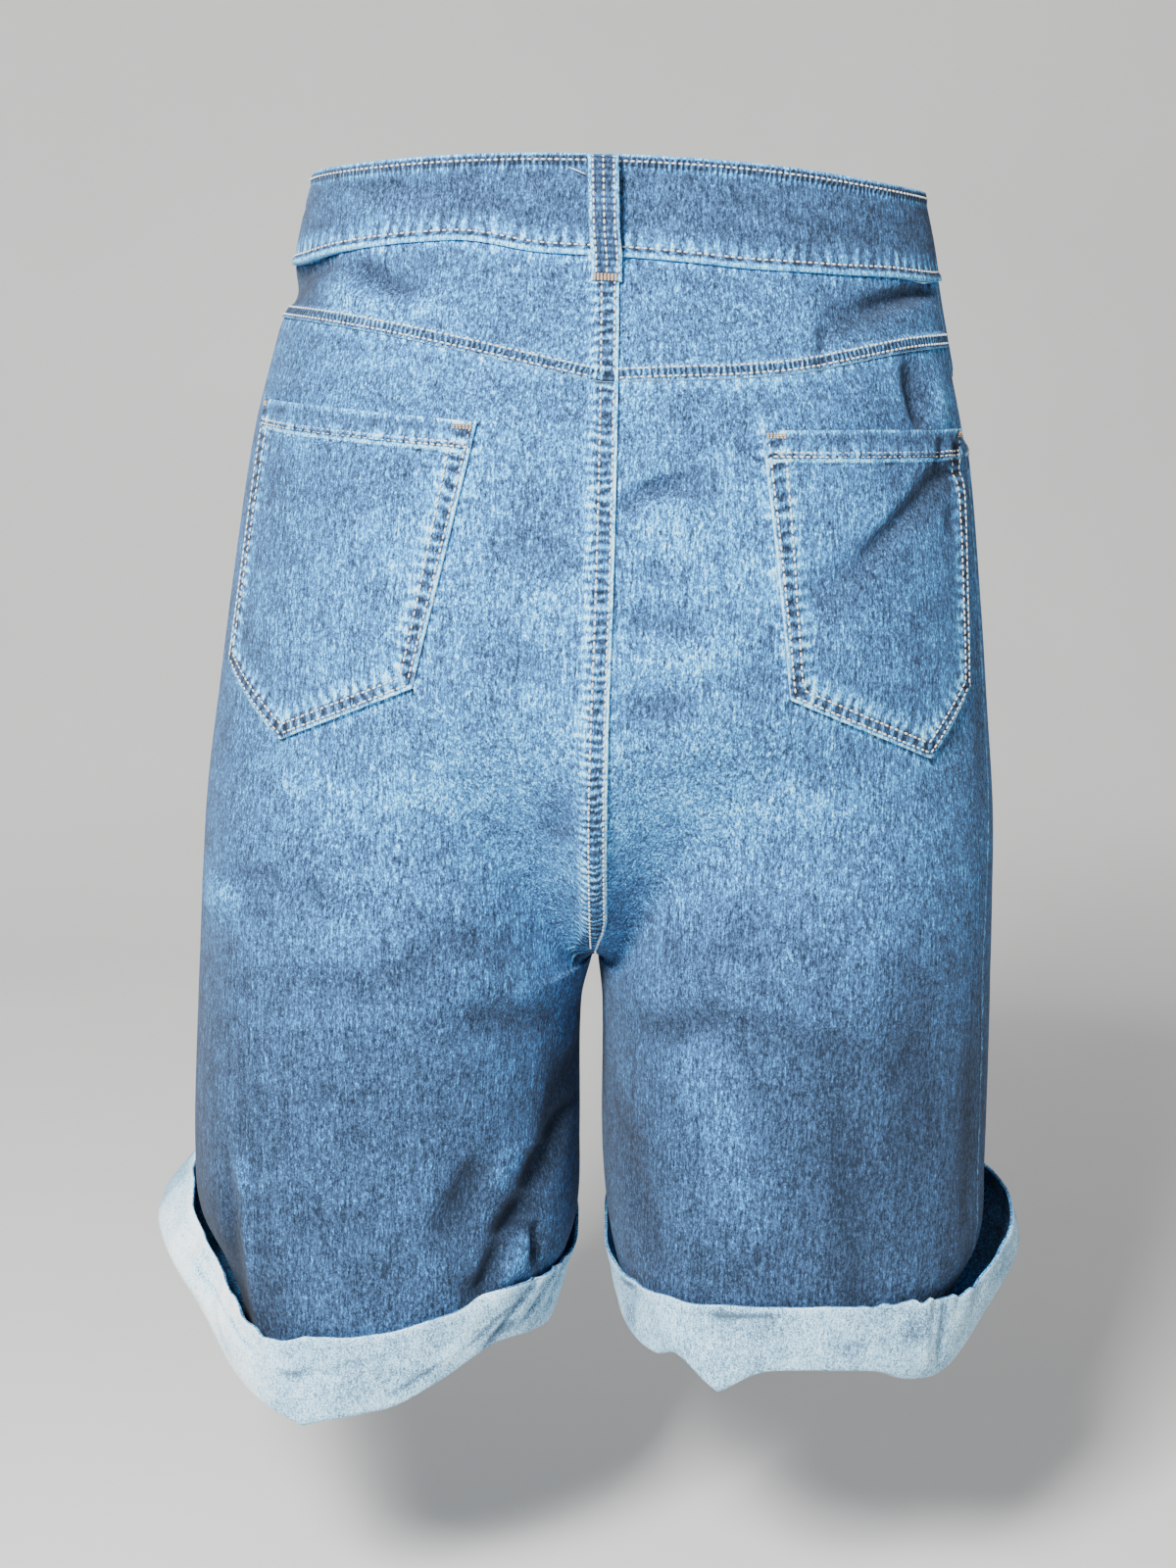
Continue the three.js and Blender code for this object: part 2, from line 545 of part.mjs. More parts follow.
// The cloth behind the pocket's mouth: flush at the side seam and one layer lower under the front panel.
function addFacing(side) {
  const below = CLOTH + FACING.drop;
  const flush = (s, z) => smooth((s - mouthEdge(z - FACING.rise) - FACING.flushAfter) / FACING.ramp);
  const lift = (s, z) => -below * (1 - flush(s, z));
  const place = (r, c) => {
    const share = r / FACING_STEPS;
    const across = c / FACING_STEPS;
    const z = mix(BAND_SEAM.side - HALF_GAP, MOUTH.endZ - FACING.below, share);
    const innerEdge = mouthEdge(z) - FACING.under;
    const s = mix(innerEdge, beside(side, 0.5, z, -1), across);
    return { side, s, z: mix(seamHeight(BAND_SEAM, s) - HALF_GAP, z, share) };
  };
  const name = `front_pocket_facing_${sideName(side)}`;
  addPanel(name, "denim", FACING_STEPS, FACING_STEPS, place, { lift });
}

// The waistband is one strip, from its end under the left front round the back to its end over the
// right front.
function addWaistband() {
  const place = (r, c) => {
    const g = mix(-BAND_LAP.under, 2 + BAND_LAP.over, c / BAND_STEPS);
    const side = g < 1 ? -1 : 1;
    const s = g < 1 ? g : 2 - g;
    const top = seamHeight(BAND_TOP, s);
    return { side, s, z: mix(top, seamHeight(BAND_SEAM, s) + HALF_GAP, r / BAND_ROWS), g };
  };
  const face = (depth) =>
    Array.from({ length: BAND_ROWS + 1 }, (_, r) =>
      Array.from({ length: BAND_STEPS + 1 }, (_, c) => {
        const { side, s, z, g } = place(r, c);
        const lifted = smooth((g - 2 + BAND_LAP.under + BAND_LAP.ramp) / BAND_LAP.ramp);
        return clothOut(side, s, z, BAND_OUT + lifted * (BAND_CLOTH + SEAM_GAP) - depth);
      }),
    );
  addWall("waistband", "denim", face(0), face(BAND_CLOTH));
}

// A turned-up hem: a ring of U-shaped section that runs under the panels' lower edge and up outside them.
function addCuff(side) {
  const rows = CUFFS[sideName(side)];
  const sections = [];
  const backColumns = BACK_COLUMNS.outer + BACK_COLUMNS.pocket + BACK_COLUMNS.inner;
  const turns = [
    ...Array.from({ length: FRONT_COLUMNS }, (_, c) => mix(0, 0.5, c / FRONT_COLUMNS)),
    ...Array.from({ length: backColumns }, (_, c) => mix(0.5, 1, c / backColumns)),
  ];
  for (const turn of turns) {
    const at = (key) => read(rows, "turn", key, turn);
    const [fold, height, foot, bulge, rim] = ["fold", "height", "foot", "bulge", "rim"].map(at);
    const floor = fold - SEAM_GAP;
    const { tuck, toe, round, roll, slack, bend, near, far } = CUFF_SECTION;
    const middle = fold + height / 2;
    // Each corner of the section: how far out from the leg's outer face, and its height.
    const corners = [
      [-CLOTH, floor],
      [-CLOTH + tuck, floor - CLOTH],
      [toe + foot * near, floor - CLOTH - round],
      [foot * far + CLOTH + roll, floor - CLOTH + tuck],
      [foot + CLOTH + slack, floor + bend],
      [bulge + CLOTH, middle],
      [rim + CLOTH, fold + height],
      [rim, fold + height],
      [bulge, middle],
      [foot + slack, floor + bend],
      [foot * far + slack / 2, floor],
    ];
    sections.push(corners.map(([out, z]) => {
      const point = cloth(side, turn, Math.max(z, fold));
      const direction = outward(side, turn, Math.max(z, fold)).setZ(0).normalize();
      return point.addScaledVector(direction, out).setZ(z);
    }));
  }
  const [count, corners] = [sections.length, sections[0].length];
  const at = (i, k) => (i % count) * corners + (k % corners);
  const triangles = [];
  for (let i = 0; i < count; i++)
    for (let k = 0; k < corners; k++)
      triangles.push(...quad(at(i, k), at(i + 1, k), at(i + 1, k + 1), at(i, k + 1)));
  addMesh(`cuff_${sideName(side)}`, "reverse", sections.flat(), triangles);
}

// A belt loop: a flat strap that stands off the waistband and is sewn down at both ends.
function addBeltLoop({ name, side, s }) {
  const top = seamHeight(BAND_TOP, s);
  const seam = seamHeight(BAND_SEAM, s);
  const out = BAND_OUT + LOOP.gap;
  // Heights of the strap's inner face and how far they lie out from the panels.
  const middle = mix(top, seam, 0.5);
  const path = [
    [top - SEAM_GAP, BAND_OUT + SEAM_GAP],
    [top - LOOP.bend, out - LOOP.ease],
    [middle, out],
    [seam, out - LOOP.ease],
    [seam - LOOP.foot, out * LOOP.footShare],
    [seam - LOOP.below, SEAM_GAP * 2],
  ];
  const across = cloth(side, s + NEAR.s, middle).sub(cloth(side, s - NEAR.s, middle)).setZ(0).normalize();
  const away = outward(side, s, middle).setZ(0).normalize();
  const face = (depth) =>
    path.map(([z, offset]) =>
      [-0.5, 0, 0.5].map((share) =>
        cloth(side, s, z)
          .addScaledVector(away, offset + depth)
          .addScaledVector(across, share * LOOP.width),
      ),
    );
  addWall(name, "denim", face(LOOP.cloth), face(0));
}

// The waist button, a domed metal disc on the lapped end of the waistband.
function addButton() {
  const { radius, thickness } = BUTTON;
  // Shares of the radius and of the thickness, from the back of its shank to the middle of its face.
  const profile = [
    [0, 0],
    [radius * 0.55, 0],
    [radius * 0.55, thickness * 0.35],
    [radius, thickness * 0.4],
    [radius * 0.9, thickness],
    [radius * 0.7, thickness * 0.86],
    [0, thickness],
  ].map(([r, h]) => new THREE.Vector2(r, h));
  const disc = new THREE.Mesh(new THREE.LatheGeometry(profile, BUTTON_STEPS), materials.metal);
  const z = mix(seamHeight(BAND_TOP, 0), seamHeight(BAND_SEAM, 0), 0.5);
  const out = BAND_OUT + BAND_CLOTH + SEAM_GAP + BUTTON.shank;
  const outAt = outward(1, BUTTON.s, z);
  disc.position.copy(cloth(1, BUTTON.s, z)).addScaledVector(outAt, out);
  disc.quaternion.setFromUnitVectors(new THREE.Vector3(0, 1, 0), outAt);
  disc.name = "waist_button";
  shorts.add(disc);
}

for (const side of [1, -1]) {
  addBack(side);
  addYoke(side);
  addBackPocket(side);
  addFront(side);
  addFacing(side);
  addCuff(side);
}
addWaistband();
for (const place of LOOP_PLACES) addBeltLoop(place);
addButton();

export default shorts;
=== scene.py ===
import math

import bpy
import numpy as np
from mathutils import Matrix, Vector


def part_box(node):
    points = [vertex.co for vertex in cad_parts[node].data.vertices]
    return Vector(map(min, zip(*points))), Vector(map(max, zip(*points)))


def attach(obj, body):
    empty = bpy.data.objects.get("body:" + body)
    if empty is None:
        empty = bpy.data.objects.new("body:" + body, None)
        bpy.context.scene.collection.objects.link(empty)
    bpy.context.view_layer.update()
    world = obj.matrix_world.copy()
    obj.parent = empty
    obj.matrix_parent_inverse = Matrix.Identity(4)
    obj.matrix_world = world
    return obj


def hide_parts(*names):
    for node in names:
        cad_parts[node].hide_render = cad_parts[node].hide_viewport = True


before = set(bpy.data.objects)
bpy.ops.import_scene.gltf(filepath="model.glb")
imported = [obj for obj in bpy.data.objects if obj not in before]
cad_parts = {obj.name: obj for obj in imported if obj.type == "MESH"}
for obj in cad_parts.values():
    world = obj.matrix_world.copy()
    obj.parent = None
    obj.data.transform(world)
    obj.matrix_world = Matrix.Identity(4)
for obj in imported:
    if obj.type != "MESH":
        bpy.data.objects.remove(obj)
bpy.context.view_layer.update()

# Knee-length denim shorts seen from behind, filled out as if worn.
# The sizes are in millimetres. +Z is up, +Y the wearer's back, +X the wearer's left.
# Round each half s goes from the centre front (0) past the side (0.5) to the centre back (1),
# and below the crotch round the leg in the same way.
MM = 0.001
LEFT, RIGHT = 1, -1
NAMES = {LEFT: "left", RIGHT: "right"}

# Layers of cloth.
CLOTH = 1.4
BAND_CLOTH = 2.4
BAND_OUT = 0.6
LAYER_GAP = 0.3
ON_PANEL = CLOTH + LAYER_GAP

# The body and the legs.
CROTCH_Z = -345.0
SEAT_Z = -205.0
SIDE_ROW_Z = -365.0
CROTCH_CURVE = 2.5
BODY_SQUARE = 2.25
DRIFT_REACH = 60.0
HALF_ROUND = 400.0

# Where panels end beside a seam, and where the close columns of the centre back strip begin.
FRONT_EDGE, FRONT_SIDE, BACK_SIDE, STRIP_S, BACK_EDGE = 0.0005, 0.4995, 0.5005, 0.966, 0.9995
EDGE_GAP = 0.1


def table(columns, *rows):
    """Rows of numbers as a dictionary of columns, sorted by the first one."""
    names = columns.split()
    rows = sorted(rows)
    return {name: np.array([row[k] for row in rows], float) for k, name in enumerate(names)} | {"by": names[0]}


BODY = table(
    "z width back front",
    (24, 138, 101, 95), (4, 141.5, 104, 99), (-18, 145.5, 108, 104), (-38, 149.5, 112, 108),
    (-60, 154.5, 118, 112), (-105, 165, 129, 118), (-174, 174.5, 137, 120), (-221, 180, 137, 117),
    (-268, 185, 132, 112), (-316, 187, 124, 107), (-364, 188.5, 117, 103), (-440, 190, 110, 98),
    (-470, 189.5, 108.5, 96.5), (-490, 181, 107.5, 95.5), (-510, 172, 107, 95), (-545, 166, 106, 94),
)
LEGS = {
    LEFT: table(
        "z inner square skew",
        (CROTCH_Z, 0.5, 2.3, 0), (-372, 6, 2.35, 2), (-440, 5, 2.5, 6),
        (-475, 5, 2.6, 9), (-505, 13, 2.6, 12), (-545, 20, 2.6, 14),
    ),
    RIGHT: table(
        "z inner square skew",
        (CROTCH_Z, 0.5, 2.3, 0), (-372, 4, 2.4, 0), (-440, 6, 2.6, -2),
        (-475, 10, 2.8, -3), (-505, 17, 2.9, -4), (-545, 22, 2.9, -4),
    ),
}
SEAM_DRIFT = table("z x", (24, 7.5), (-18, 5.5), (-75, 4), (-150, 3.3), (-250, 3.3), (CROTCH_Z, 0))
SIDE_SEAM = {LEFT: 0.02, RIGHT: 0.08}
BAND_TOP = {"back": 19.5, "side": 11.0, "front": 5.0}
BAND_SEAM = {"back": -18.0, "side": -26.5, "front": -33.0}
BAND_LAP = {"under": 0.07, "over": 0.03, "ramp": 0.06}
YOKE_SEAM = {"back": -75.0, "side": -53.0}
YOKE_POINT = 2.5
YOKE_LAP = 7.2
MOUTH = {"share": 0.27, "end": -104.0, "under": 0.09, "below": 16.0, "rise": 30.0, "drop": 1.6}
FLY = {"end": -172.0, "lap": 0.028, "lift": 2.3, "ramp": 0.09, "top": 0.035, "width": 36.0, "bend": 34.0}
LOOP = {"width": 13.0, "cloth": 1.8, "gap": 6.2, "below": 15.0}
LOOPS = {
    "back": (LEFT, 1.0),
    "side_left": (LEFT, 0.38),
    "side_right": (RIGHT, 0.34),
    "front_left": (LEFT, 0.17),
    "front_right": (RIGHT, 0.17),
}

# The felled centre back seam: how far the left half laps over the right one, the strip's other
# edge, its height, and the two rows of stitches.
FELL = {"lap": 6.0, "under": 6.4, "height": 1.9, "rows": (-4.2, 1.2)}

# Back pockets, as distances round the body from the centre back seam and heights.
POCKETS = {
    LEFT: {"top": (53, -93), "corner": (79, -206), "point": (144, -235), "outer": (196, -206), "end": (179, -89)},
    RIGHT: {"top": (67, -93), "corner": (84, -206), "point": (155, -235), "outer": (190, -206), "end": (188, -93)},
}
POCKET_HEM = 11.5
POCKET_SWELL = 1.8
SWELL_REACH = 16.0

# How far the cross seams of the back hang below an even curve on each side: s and the drop.
SAG_ROWS = {
    ("band", LEFT): (
        (0.38, 0), (0.5, 3.4), (0.6, 3), (0.675, 0.4), (0.78, -1.4), (0.867, -2), (0.902, 0), (0.942, 4), (1, 4.7),
    ),
    ("band", RIGHT): ((0.38, 0), (0.5, 2), (0.65, 2.6), (0.75, 5), (0.88, 7), (0.95, 5.6), (1, 4.7)),
    ("yoke", LEFT): ((0.5, 0), (1, 0)),
    ("yoke", RIGHT): (
        (0.5, 4), (0.63, 5), (0.675, 6), (0.75, 7.6), (0.83, 8.6), (0.9, 6.4), (0.96, 2.4), (1, 0),
    ),
}

# Folds: from x and z, to x and z, how far out (in below zero), and half width.
BACK_FOLDS = (
    (150, -36, 121, -26, -4.6, 5), (121, -26, 84, -41, -3.0, 4.5), (128, -39, 96, -52, 1.5, 7),
    (-150, -27, -106, -42, -4.8, 4.2), (-119, -38, -90, -48, -2.2, 7), (-90, -46, -88, -70, -1.8, 3),
    (-128, -62, -137, -94, -5.5, 4), (-142, -68, -147, -94, 2.0, 4), (-3, -127, -15, -119, -4.2, 3.6),
    (-13, -119, -32, -115.5, -4.2, 3.8), (-30, -115.5, -48, -120, -1.8, 7), (-6, -135, -42, -132, 1.2, 9),
    (-3, -176, -46, -175, -1.9, 7), (-6, -187, -52, -190, 0.9, 9), (-5, -214, -40, -204, -1.9, 9),
    (-160, -104, -121, -136, -1.8, 7), (-121, -136, -78, -172, -1.6, 9), (-143, -110, -106, -150, -3.1, 4.5),
    (-133, -112, -98, -148, 0.8, 6), (-142, -96, -143, -112, -3.2, 2.6), (-152, -95, -152, -108, -2.8, 2.6),
    (-150, -124, -149, -140, -1.8, 3), (-134, -113, -158, -110, -2.2, 3.5), (22, -274, 6, -249, -1.8, 8),
    (49, -496, 38, -465, -6, 4.5), (39, -466, 26, -446, -8, 6.5), (27, -447, 18, -425, -7, 6),
    (18, -426, 11, -385, -3.5, 6), (20, -430, 8, -412, -4.5, 4), (65, -460, 48, -424, -5, 7),
    (23, -461, 23, -484, -6, 2.4), (55, -478, 52, -496, -2.2, 5), (46, -440, 32, -420, 1.8, 6),
    (35, -488, 27, -463, 2.4, 6), (159, -425, 155, -448, 1.8, 3.5), (155, -448, 151, -520, 1.8, 3.5),
    (164, -430, 161, -500, -1.8, 4), (168, -300, 176, -322, 3, 8), (-176, -110, -181, -300, -3, 7),
    (-182, -330, -182, -470, -4, 8), (-45, -362, -76, -460, 1.6, 15), (-138, -306, -146, -430, -1.2, 12),
    (96, -42, 60, -52, 1.0, 5), (8, -150, 52, -140, -1.4, 10), (10, -128, 46, -121, -1.2, 8),
    (12, -198, 62, -189, -1.3, 10), (-15, -151, -26, -154, -1.5, 4), (-40, -200, -100, -196, -0.9, 10),
    (60, -250, 150, -262, 1.2, 12), (-40, -262, -140, -250, 1.0, 12), (110, -300, 168, -296, -1.0, 8),
    (60, -330, 150, -345, -1.0, 10), (-50, -350, -150, -372, -1.0, 9), (16, -366, 60, -352, -1.8, 7),
    (-16, -366, -62, -350, -1.8, 7), (26, -330, 80, -312, -1.3, 8), (-26, -330, -84, -308, -1.3, 8),
    (-12, -400, -30, -480, -1.8, 8), (-110, -380, -126, -500, -1.3, 10),
)
FRONT_FOLDS = (
    (30, -290, 96, -262, -3.5, 9), (34, -320, 90, -306, -3, 8), (-30, -286, -98, -256, -3.5, 9),
    (-34, -324, -86, -312, -3, 8), (60, -420, 120, -500, -4, 12), (-50, -400, -110, -492, -4, 12),
    (40, -130, 100, -110, -1.2, 6), (-40, -130, -100, -112, -1.2, 6), (50, -160, 120, -150, -1.0, 7),
    (-50, -166, -120, -148, -1.0, 7), (24, -250, 90, -222, -1.6, 7), (-24, -246, -92, -218, -1.6, 7),
    (140, -380, 150, -500, 1.4, 9), (-140, -380, -150, -490, 1.4, 9), (20, -400, 40, -500, -1.6, 8),
    (-20, -400, -44, -480, -1.6, 8), (120, -260, 160, -240, -1.0, 8), (-120, -262, -160, -244, -1.0, 8),
)

# Dents that run on round the sides: centre in x and z, reach in x and z, and depth.
DENTS = ((185, -508, 30, 42, -8), (150, -42, 16, 9, -4.5), (152, 16, 12, 14, -4), (-150, 14, 12, 16, -3.5))

# Long creases of the waistband: where round it, how long, how high, how deep.
BAND_CREASES = (
    (0.62, 0.05, 24, -0.7), (0.74, 0.09, 18, -0.6), (0.86, 0.07, 26, -0.5), (1.14, 0.06, 20, -0.6),
    (1.27, 0.1, 27, -0.7), (1.36, 0.07, 14, -0.6), (1.45, 0.05, 22, -0.8), (0.3, 0.08, 20, -0.6),
    (1.72, 0.09, 22, -0.6),
)

# Turned-up hems, by how far round the leg: 0 inseam, 0.25 front, 0.5 outside, 0.75 back.
CUFFS = {
    LEFT: table(
        "turn fold height foot bulge rim",
        (0, -514, 25, 1, 3, 2.5), (0.12, -511, 31, 2, 4, 3), (0.25, -506, 34, 4, 6, 5),
        (0.36, -503, 36, 11, 14, 9), (0.44, -504, 42, 20, 25, 5), (0.5, -510, 50, 22, 28, 2),
        (0.54, -517, 41, 17, 24, 2), (0.58, -529, 37, 12, 15, 3.5), (0.63, -540, 35, 7, 9, 6),
        (0.665, -545, 37, 4, 6, 5), (0.69, -545, 39, 3, 3, 2.5), (0.74, -540, 35.5, 1, 2.5, 2.5),
        (0.78, -529, 32, 1, 2.5, 2.5), (0.84, -515, 26, 1, 2.5, 2.5), (0.9, -517, 27, 1, 2.5, 2.5),
        (0.95, -521, 31, 1, 2.5, 2.5), (1, -514, 25, 1, 3, 2.5),
    ),
    RIGHT: table(
        "turn fold height foot bulge rim",
        (0, -512, 25, 1, 3, 2.5), (0.12, -505, 31, 2, 4, 3), (0.25, -500, 34, 4, 6, 5),
        (0.34, -499, 35, 10, 12, 8), (0.4, -500, 36, 18, 20, 13), (0.44, -505, 39, 22, 24, 14),
        (0.48, -515, 40, 17, 17, 11), (0.52, -525, 40, 12, 13, 9), (0.58, -522, 37, 8, 7, 4),
        (0.62, -516, 31.5, 4, 4, 3), (0.66, -514.5, 30.5, 1.5, 2.5, 2.5), (0.71, -515, 30, 1, 2.5, 2.5),
        (0.76, -524, 38, 1, 2.5, 2.5), (0.82, -512, 26, 1, 2.5, 2.5), (0.86, -516, 29, 1, 2.5, 2.5),
        (0.93, -515, 28, 1, 2.5, 2.5), (1, -512, 25, 1, 3, 2.5),
    ),
}

# The sharp low point of each turned-up hem: where round the leg, how much lower, how wide.
CUFF_TIPS = {LEFT: (0.678, 2.5, 0.012), RIGHT: (0.76, 2.5, 0.012)}

# Soft lines of painted shade along the turned-up hems, where they crease: how far up, where round the leg, slope,
# half length, half width, depth.
CUFF_SHADE_LINES = {
    LEFT: (
        (0.61, 0.674, 0.0, 0.018, 0.04, 0.25), (0.23, 0.763, 3.0, 0.022, 0.045, 0.4),
        (0.42, 0.83, 6.0, 0.024, 0.06, 0.45), (0.15, 0.845, 5.0, 0.02, 0.1, 0.6),
        (0.7, 0.73, 2.0, 0.02, 0.05, 0.2),
    ),
    RIGHT: (
        (0.88, 0.739, 0.0, 0.03, 0.035, 0.5), (0.9, 0.9, 0.0, 0.016, 0.04, 0.5),
        (0.6, 0.59, 2.0, 0.02, 0.2, 0.3), (0.4, 0.66, -1.0, 0.03, 0.08, 0.15),
    ),
}

# Creases of the turned-up hems: where round the leg, lean, half width, depth.
CUFF_CREASES = {
    LEFT: (
        (0.86, 0.05, 0.007, -2.4), (0.895, 0.06, 0.006, -2.0), (0.93, 0.04, 0.008, -1.4),
        (0.80, 0.05, 0.012, 0.8), (0.66, -0.03, 0.01, 0.9), (0.58, -0.04, 0.008, -1.0), (0.3, 0.02, 0.01, -1.0),
        (0.12, 0.03, 0.01, -1.2),
    ),
    RIGHT: (
        (0.62, 0.03, 0.012, -0.8), (0.575, 0.02, 0.008, 1.2), (0.55, 0.02, 0.006, -1.8),
        (0.83, 0.03, 0.012, 0.8), (0.9, -0.03, 0.009, -1.2), (0.72, 0.0, 0.01, -0.5), (0.3, 0.02, 0.01, -1.0),
        (0.12, 0.03, 0.01, -1.2),
    ),
}

# How a distance from a sewn edge in millimetres is spread over the seam's profile: a pale ridge up to 1.3,
# a dark ladder between rows of stitches from 1.6 to 4.6, then ribs that fade out by 9.5. Then the ribs' pitch.
PROFILES = {
    "narrow": (((0, 0), (1.1, 1.3), (1.5, 1.6), (5.2, 4.6), (8, 9.5)), 2.4),
    "border": (((0, 0), (1.2, 1.3), (1.8, 1.6), (7.4, 4.6), (15, 9.5)), 5.6),
    "wide": (((0, 0), (1.4, 1.3), (1.9, 1.6), (9.0, 4.6), (15, 9.5)), 4.2),
    "band": (((0, 0), (2.2, 1.3), (2.8, 1.6), (4.4, 4.6), (14, 9.5)), 6.5),
    "hem": (((0, 0), (1.0, 1.3), (1.5, 1.6), (2.4, 4.6), (9, 9.5)), 7.5),
    "ribs": (((0, 6.4), (6, 9.5)), 6.0),
}
FAR = 60.0

# A stitch, and the shorter one of a tack: pitch, share of it that is thread, width, height.
STITCH_PITCH = 2.9
STITCH = (STITCH_PITCH, 0.82, 0.95, 0.42)
POCKET_TACK = (1.5, 0.9, 0.8, 0.4)
LOOP_TACK = (1.5, 0.9, 0.9, 0.5)
LOOSE_END = (10.5, 0.97, 0.55, 0.4)

# The denim's grain: scale, detail, roughness and stretch of each noise, then its strength.
GRAIN = {
    "slub": (1.5, 2.0, 0.6, (1, 1, 0.14), 0.85),
    "streak": (0.6, 3.0, 0.6, (1, 1, 0.04), 0.5),
    "mottle": (0.85, 3.0, 0.65, (1, 1, 0.5), 1.25),
    "speck": (1.8, 1.0, 0.5, (1, 1, 0.6), 0.9),
    "patch": (0.07, 3.0, 0.6, (1, 1, 1.3), 0.35),
    "cloud": (0.02, 2.0, 0.5, (1, 1, 1), 0.2),
}
TWILL_PITCH = 0.85
DENIM_VALUE = 0.455
DENIM_TONES = (
    (0.0, (0.008, 0.017, 0.035)), (0.22, (0.024, 0.048, 0.1)), (0.4, (0.038, 0.088, 0.19)),
    (0.58, (0.04, 0.17, 0.42)), (0.76, (0.048, 0.37, 0.83)), (0.9, (0.12, 0.62, 0.99)), (1.0, (0.46, 0.83, 0.99)),
)
REVERSE_TONES = (
    (0.0, (0.07, 0.12, 0.18)), (0.3, (0.14, 0.27, 0.4)), (0.5, (0.29, 0.57, 0.82)),
    (0.68, (0.45, 0.77, 0.96)), (0.85, (0.62, 0.88, 0.99)), (1.0, (0.95, 0.98, 1.0)),
)
BRASS_TONES = ((0.3, (0.2, 0.11, 0.045)), (0.55, (0.42, 0.25, 0.11)), (0.8, (0.6, 0.42, 0.24)))
FLOOR_TONES = ((0.3, (0.67, 0.67, 0.66)), (0.7, (0.7, 0.7, 0.69)))

# The photograph's view: camera 1250 mm behind the shorts' axis, a little rolled.
VIEW = {"distance": 1250.0, "height": -40.0, "pitch": 10.34, "roll": 1.8, "focal_px": 2717.0, "centre_px": 613.0}
IMAGE = (1200, 1600)
SENSOR = 36.0


def make_camera():
    data = bpy.data.cameras.new("camera")
    data.sensor_fit = "VERTICAL"
    data.sensor_height = SENSOR
    data.lens = VIEW["focal_px"] / IMAGE[1] * SENSOR
    data.shift_x = -(VIEW["centre_px"] - IMAGE[0] / 2) / IMAGE[1]
    data.clip_start = 0.05
    camera = bpy.data.objects.new("camera", data)
    pitch, roll = math.radians(VIEW["pitch"]), math.radians(VIEW["roll"])
    aim = Vector((0, -math.cos(pitch), -math.sin(pitch)))
    turn = aim.to_track_quat("-Z", "Y").to_matrix().to_4x4()
    place = Matrix.Translation(Vector((0, VIEW["distance"], VIEW["height"])) * MM)
    camera.matrix_world = place @ turn @ Matrix.Rotation(roll, 4, "Z")
    bpy.context.scene.collection.objects.link(camera)
    bpy.context.scene.camera = camera


make_camera()


# The form of the cloth.


def clamp(x):
    return np.clip(x, 0.0, 1.0)


def smooth(x):
    x = clamp(x)
    return x * x * (3 - 2 * x)


def mix(a, b, t):
    return a + (b - a) * t


def bell(x, width, power=2):
    return np.exp(-((x / width) ** power))


def steps(count):
    return np.linspace(0, 1, count)


def relax(values, times):
    """Evens out the rows of an array in place. Its ends stay."""
    for _ in range(times):
        values[1:-1] = (values[:-2] + 2 * values[1:-1] + values[2:]) / 4
    return values


def drawn_out(path, count):
    """An array with more rows, spread evenly between its own."""
    places = np.linspace(0, len(path) - 1, count)
    return np.stack([np.interp(places, np.arange(len(path)), column) for column in path.T], 1)


def read(rows, key, where):
    """A column of a table at any place, by a smooth curve through its rows."""
    p, v = rows[rows["by"]], rows[key]
    slope = np.gradient(v) / np.gradient(p)
    w = np.clip(where, p[0], p[-1])
    k = np.clip(np.searchsorted(p, w) - 1, 0, len(p) - 2)
    span = p[k + 1] - p[k]
    t = (w - p[k]) / span
    return (
        v[k] * (1 + 2 * t) * (1 - t) ** 2
        + slope[k] * span * t * (1 - t) ** 2
        + v[k + 1] * t * t * (3 - 2 * t)
        + slope[k + 1] * span * t * t * (t - 1)
    )


def superellipse(angle, square):
    c, s = np.cos(angle), np.sin(angle)
    return np.sign(c) * np.abs(c) ** (2 / square), np.sign(s) * np.abs(s) ** (2 / square)


def leg_share(s, z):
    """How far the body's outline has parted into legs: 0 at the seat, 1 at the crotch."""
    down = clamp((SEAT_Z - z) / (SEAT_Z - CROTCH_Z))
    under = 1 - (1 - down**CROTCH_CURVE) ** (1 / CROTCH_CURVE)
    near = clamp((np.abs(s - 0.5) * 2 - 0.6) / 0.4) ** 2
    return mix(smooth(down), under, near)


def plain(side, s, z):
    """The cloth before its folds. Past a centre seam s runs on over the other half, or round the leg."""
    s, z = np.broadcast_arrays(np.asarray(s, float), np.asarray(z, float))
    crosses = ((s > 1) | (s < 0)) & (z > CROTCH_Z)
    turn = np.where(s > 1, np.where(crosses, 2 - s, s - 1), np.where(s < 0, np.where(crosses, -s, s + 1), s))
    hand = np.where(crosses, -side, side)
    left = hand > 0

    def leg(key):
        low = np.minimum(z, CROTCH_Z)
        return np.where(left, read(LEGS[LEFT], key, low), read(LEGS[RIGHT], key, low))

    shift = np.where(left, SIDE_SEAM[LEFT], SIDE_SEAM[RIGHT]) * np.sin(np.pi * turn) ** 2
    width, back, front = (read(BODY, key, z) for key in ("width", "back", "front"))
    body_x, body_y = superellipse((turn + shift - 0.5) * np.pi, BODY_SQUARE)
    leg_x, leg_y = superellipse((turn + shift - 0.5) * 2 * np.pi, leg("square"))
    inner = leg("inner")
    share = leg_share(turn, z)
    x = mix(width * body_x, (width + inner) / 2 + (width - inner) / 2 * leg_x, share)
    leg_depth = np.where(leg_y > 0, back, front) * leg_y + np.where(leg_y > 0, leg("skew") * leg_x * leg_y, 0)
    y = mix(np.where(body_y > 0, back, front) * body_y, leg_depth, share)
    drift = np.where((z > CROTCH_Z) & (turn > 0.5), read(SEAM_DRIFT, "x", z), 0)
    return np.stack([hand * x + drift * bell(x, DRIFT_REACH), y, z], -1)


def unit(v):
    return v / (np.linalg.norm(v, axis=-1, keepdims=True) + 1e-12)


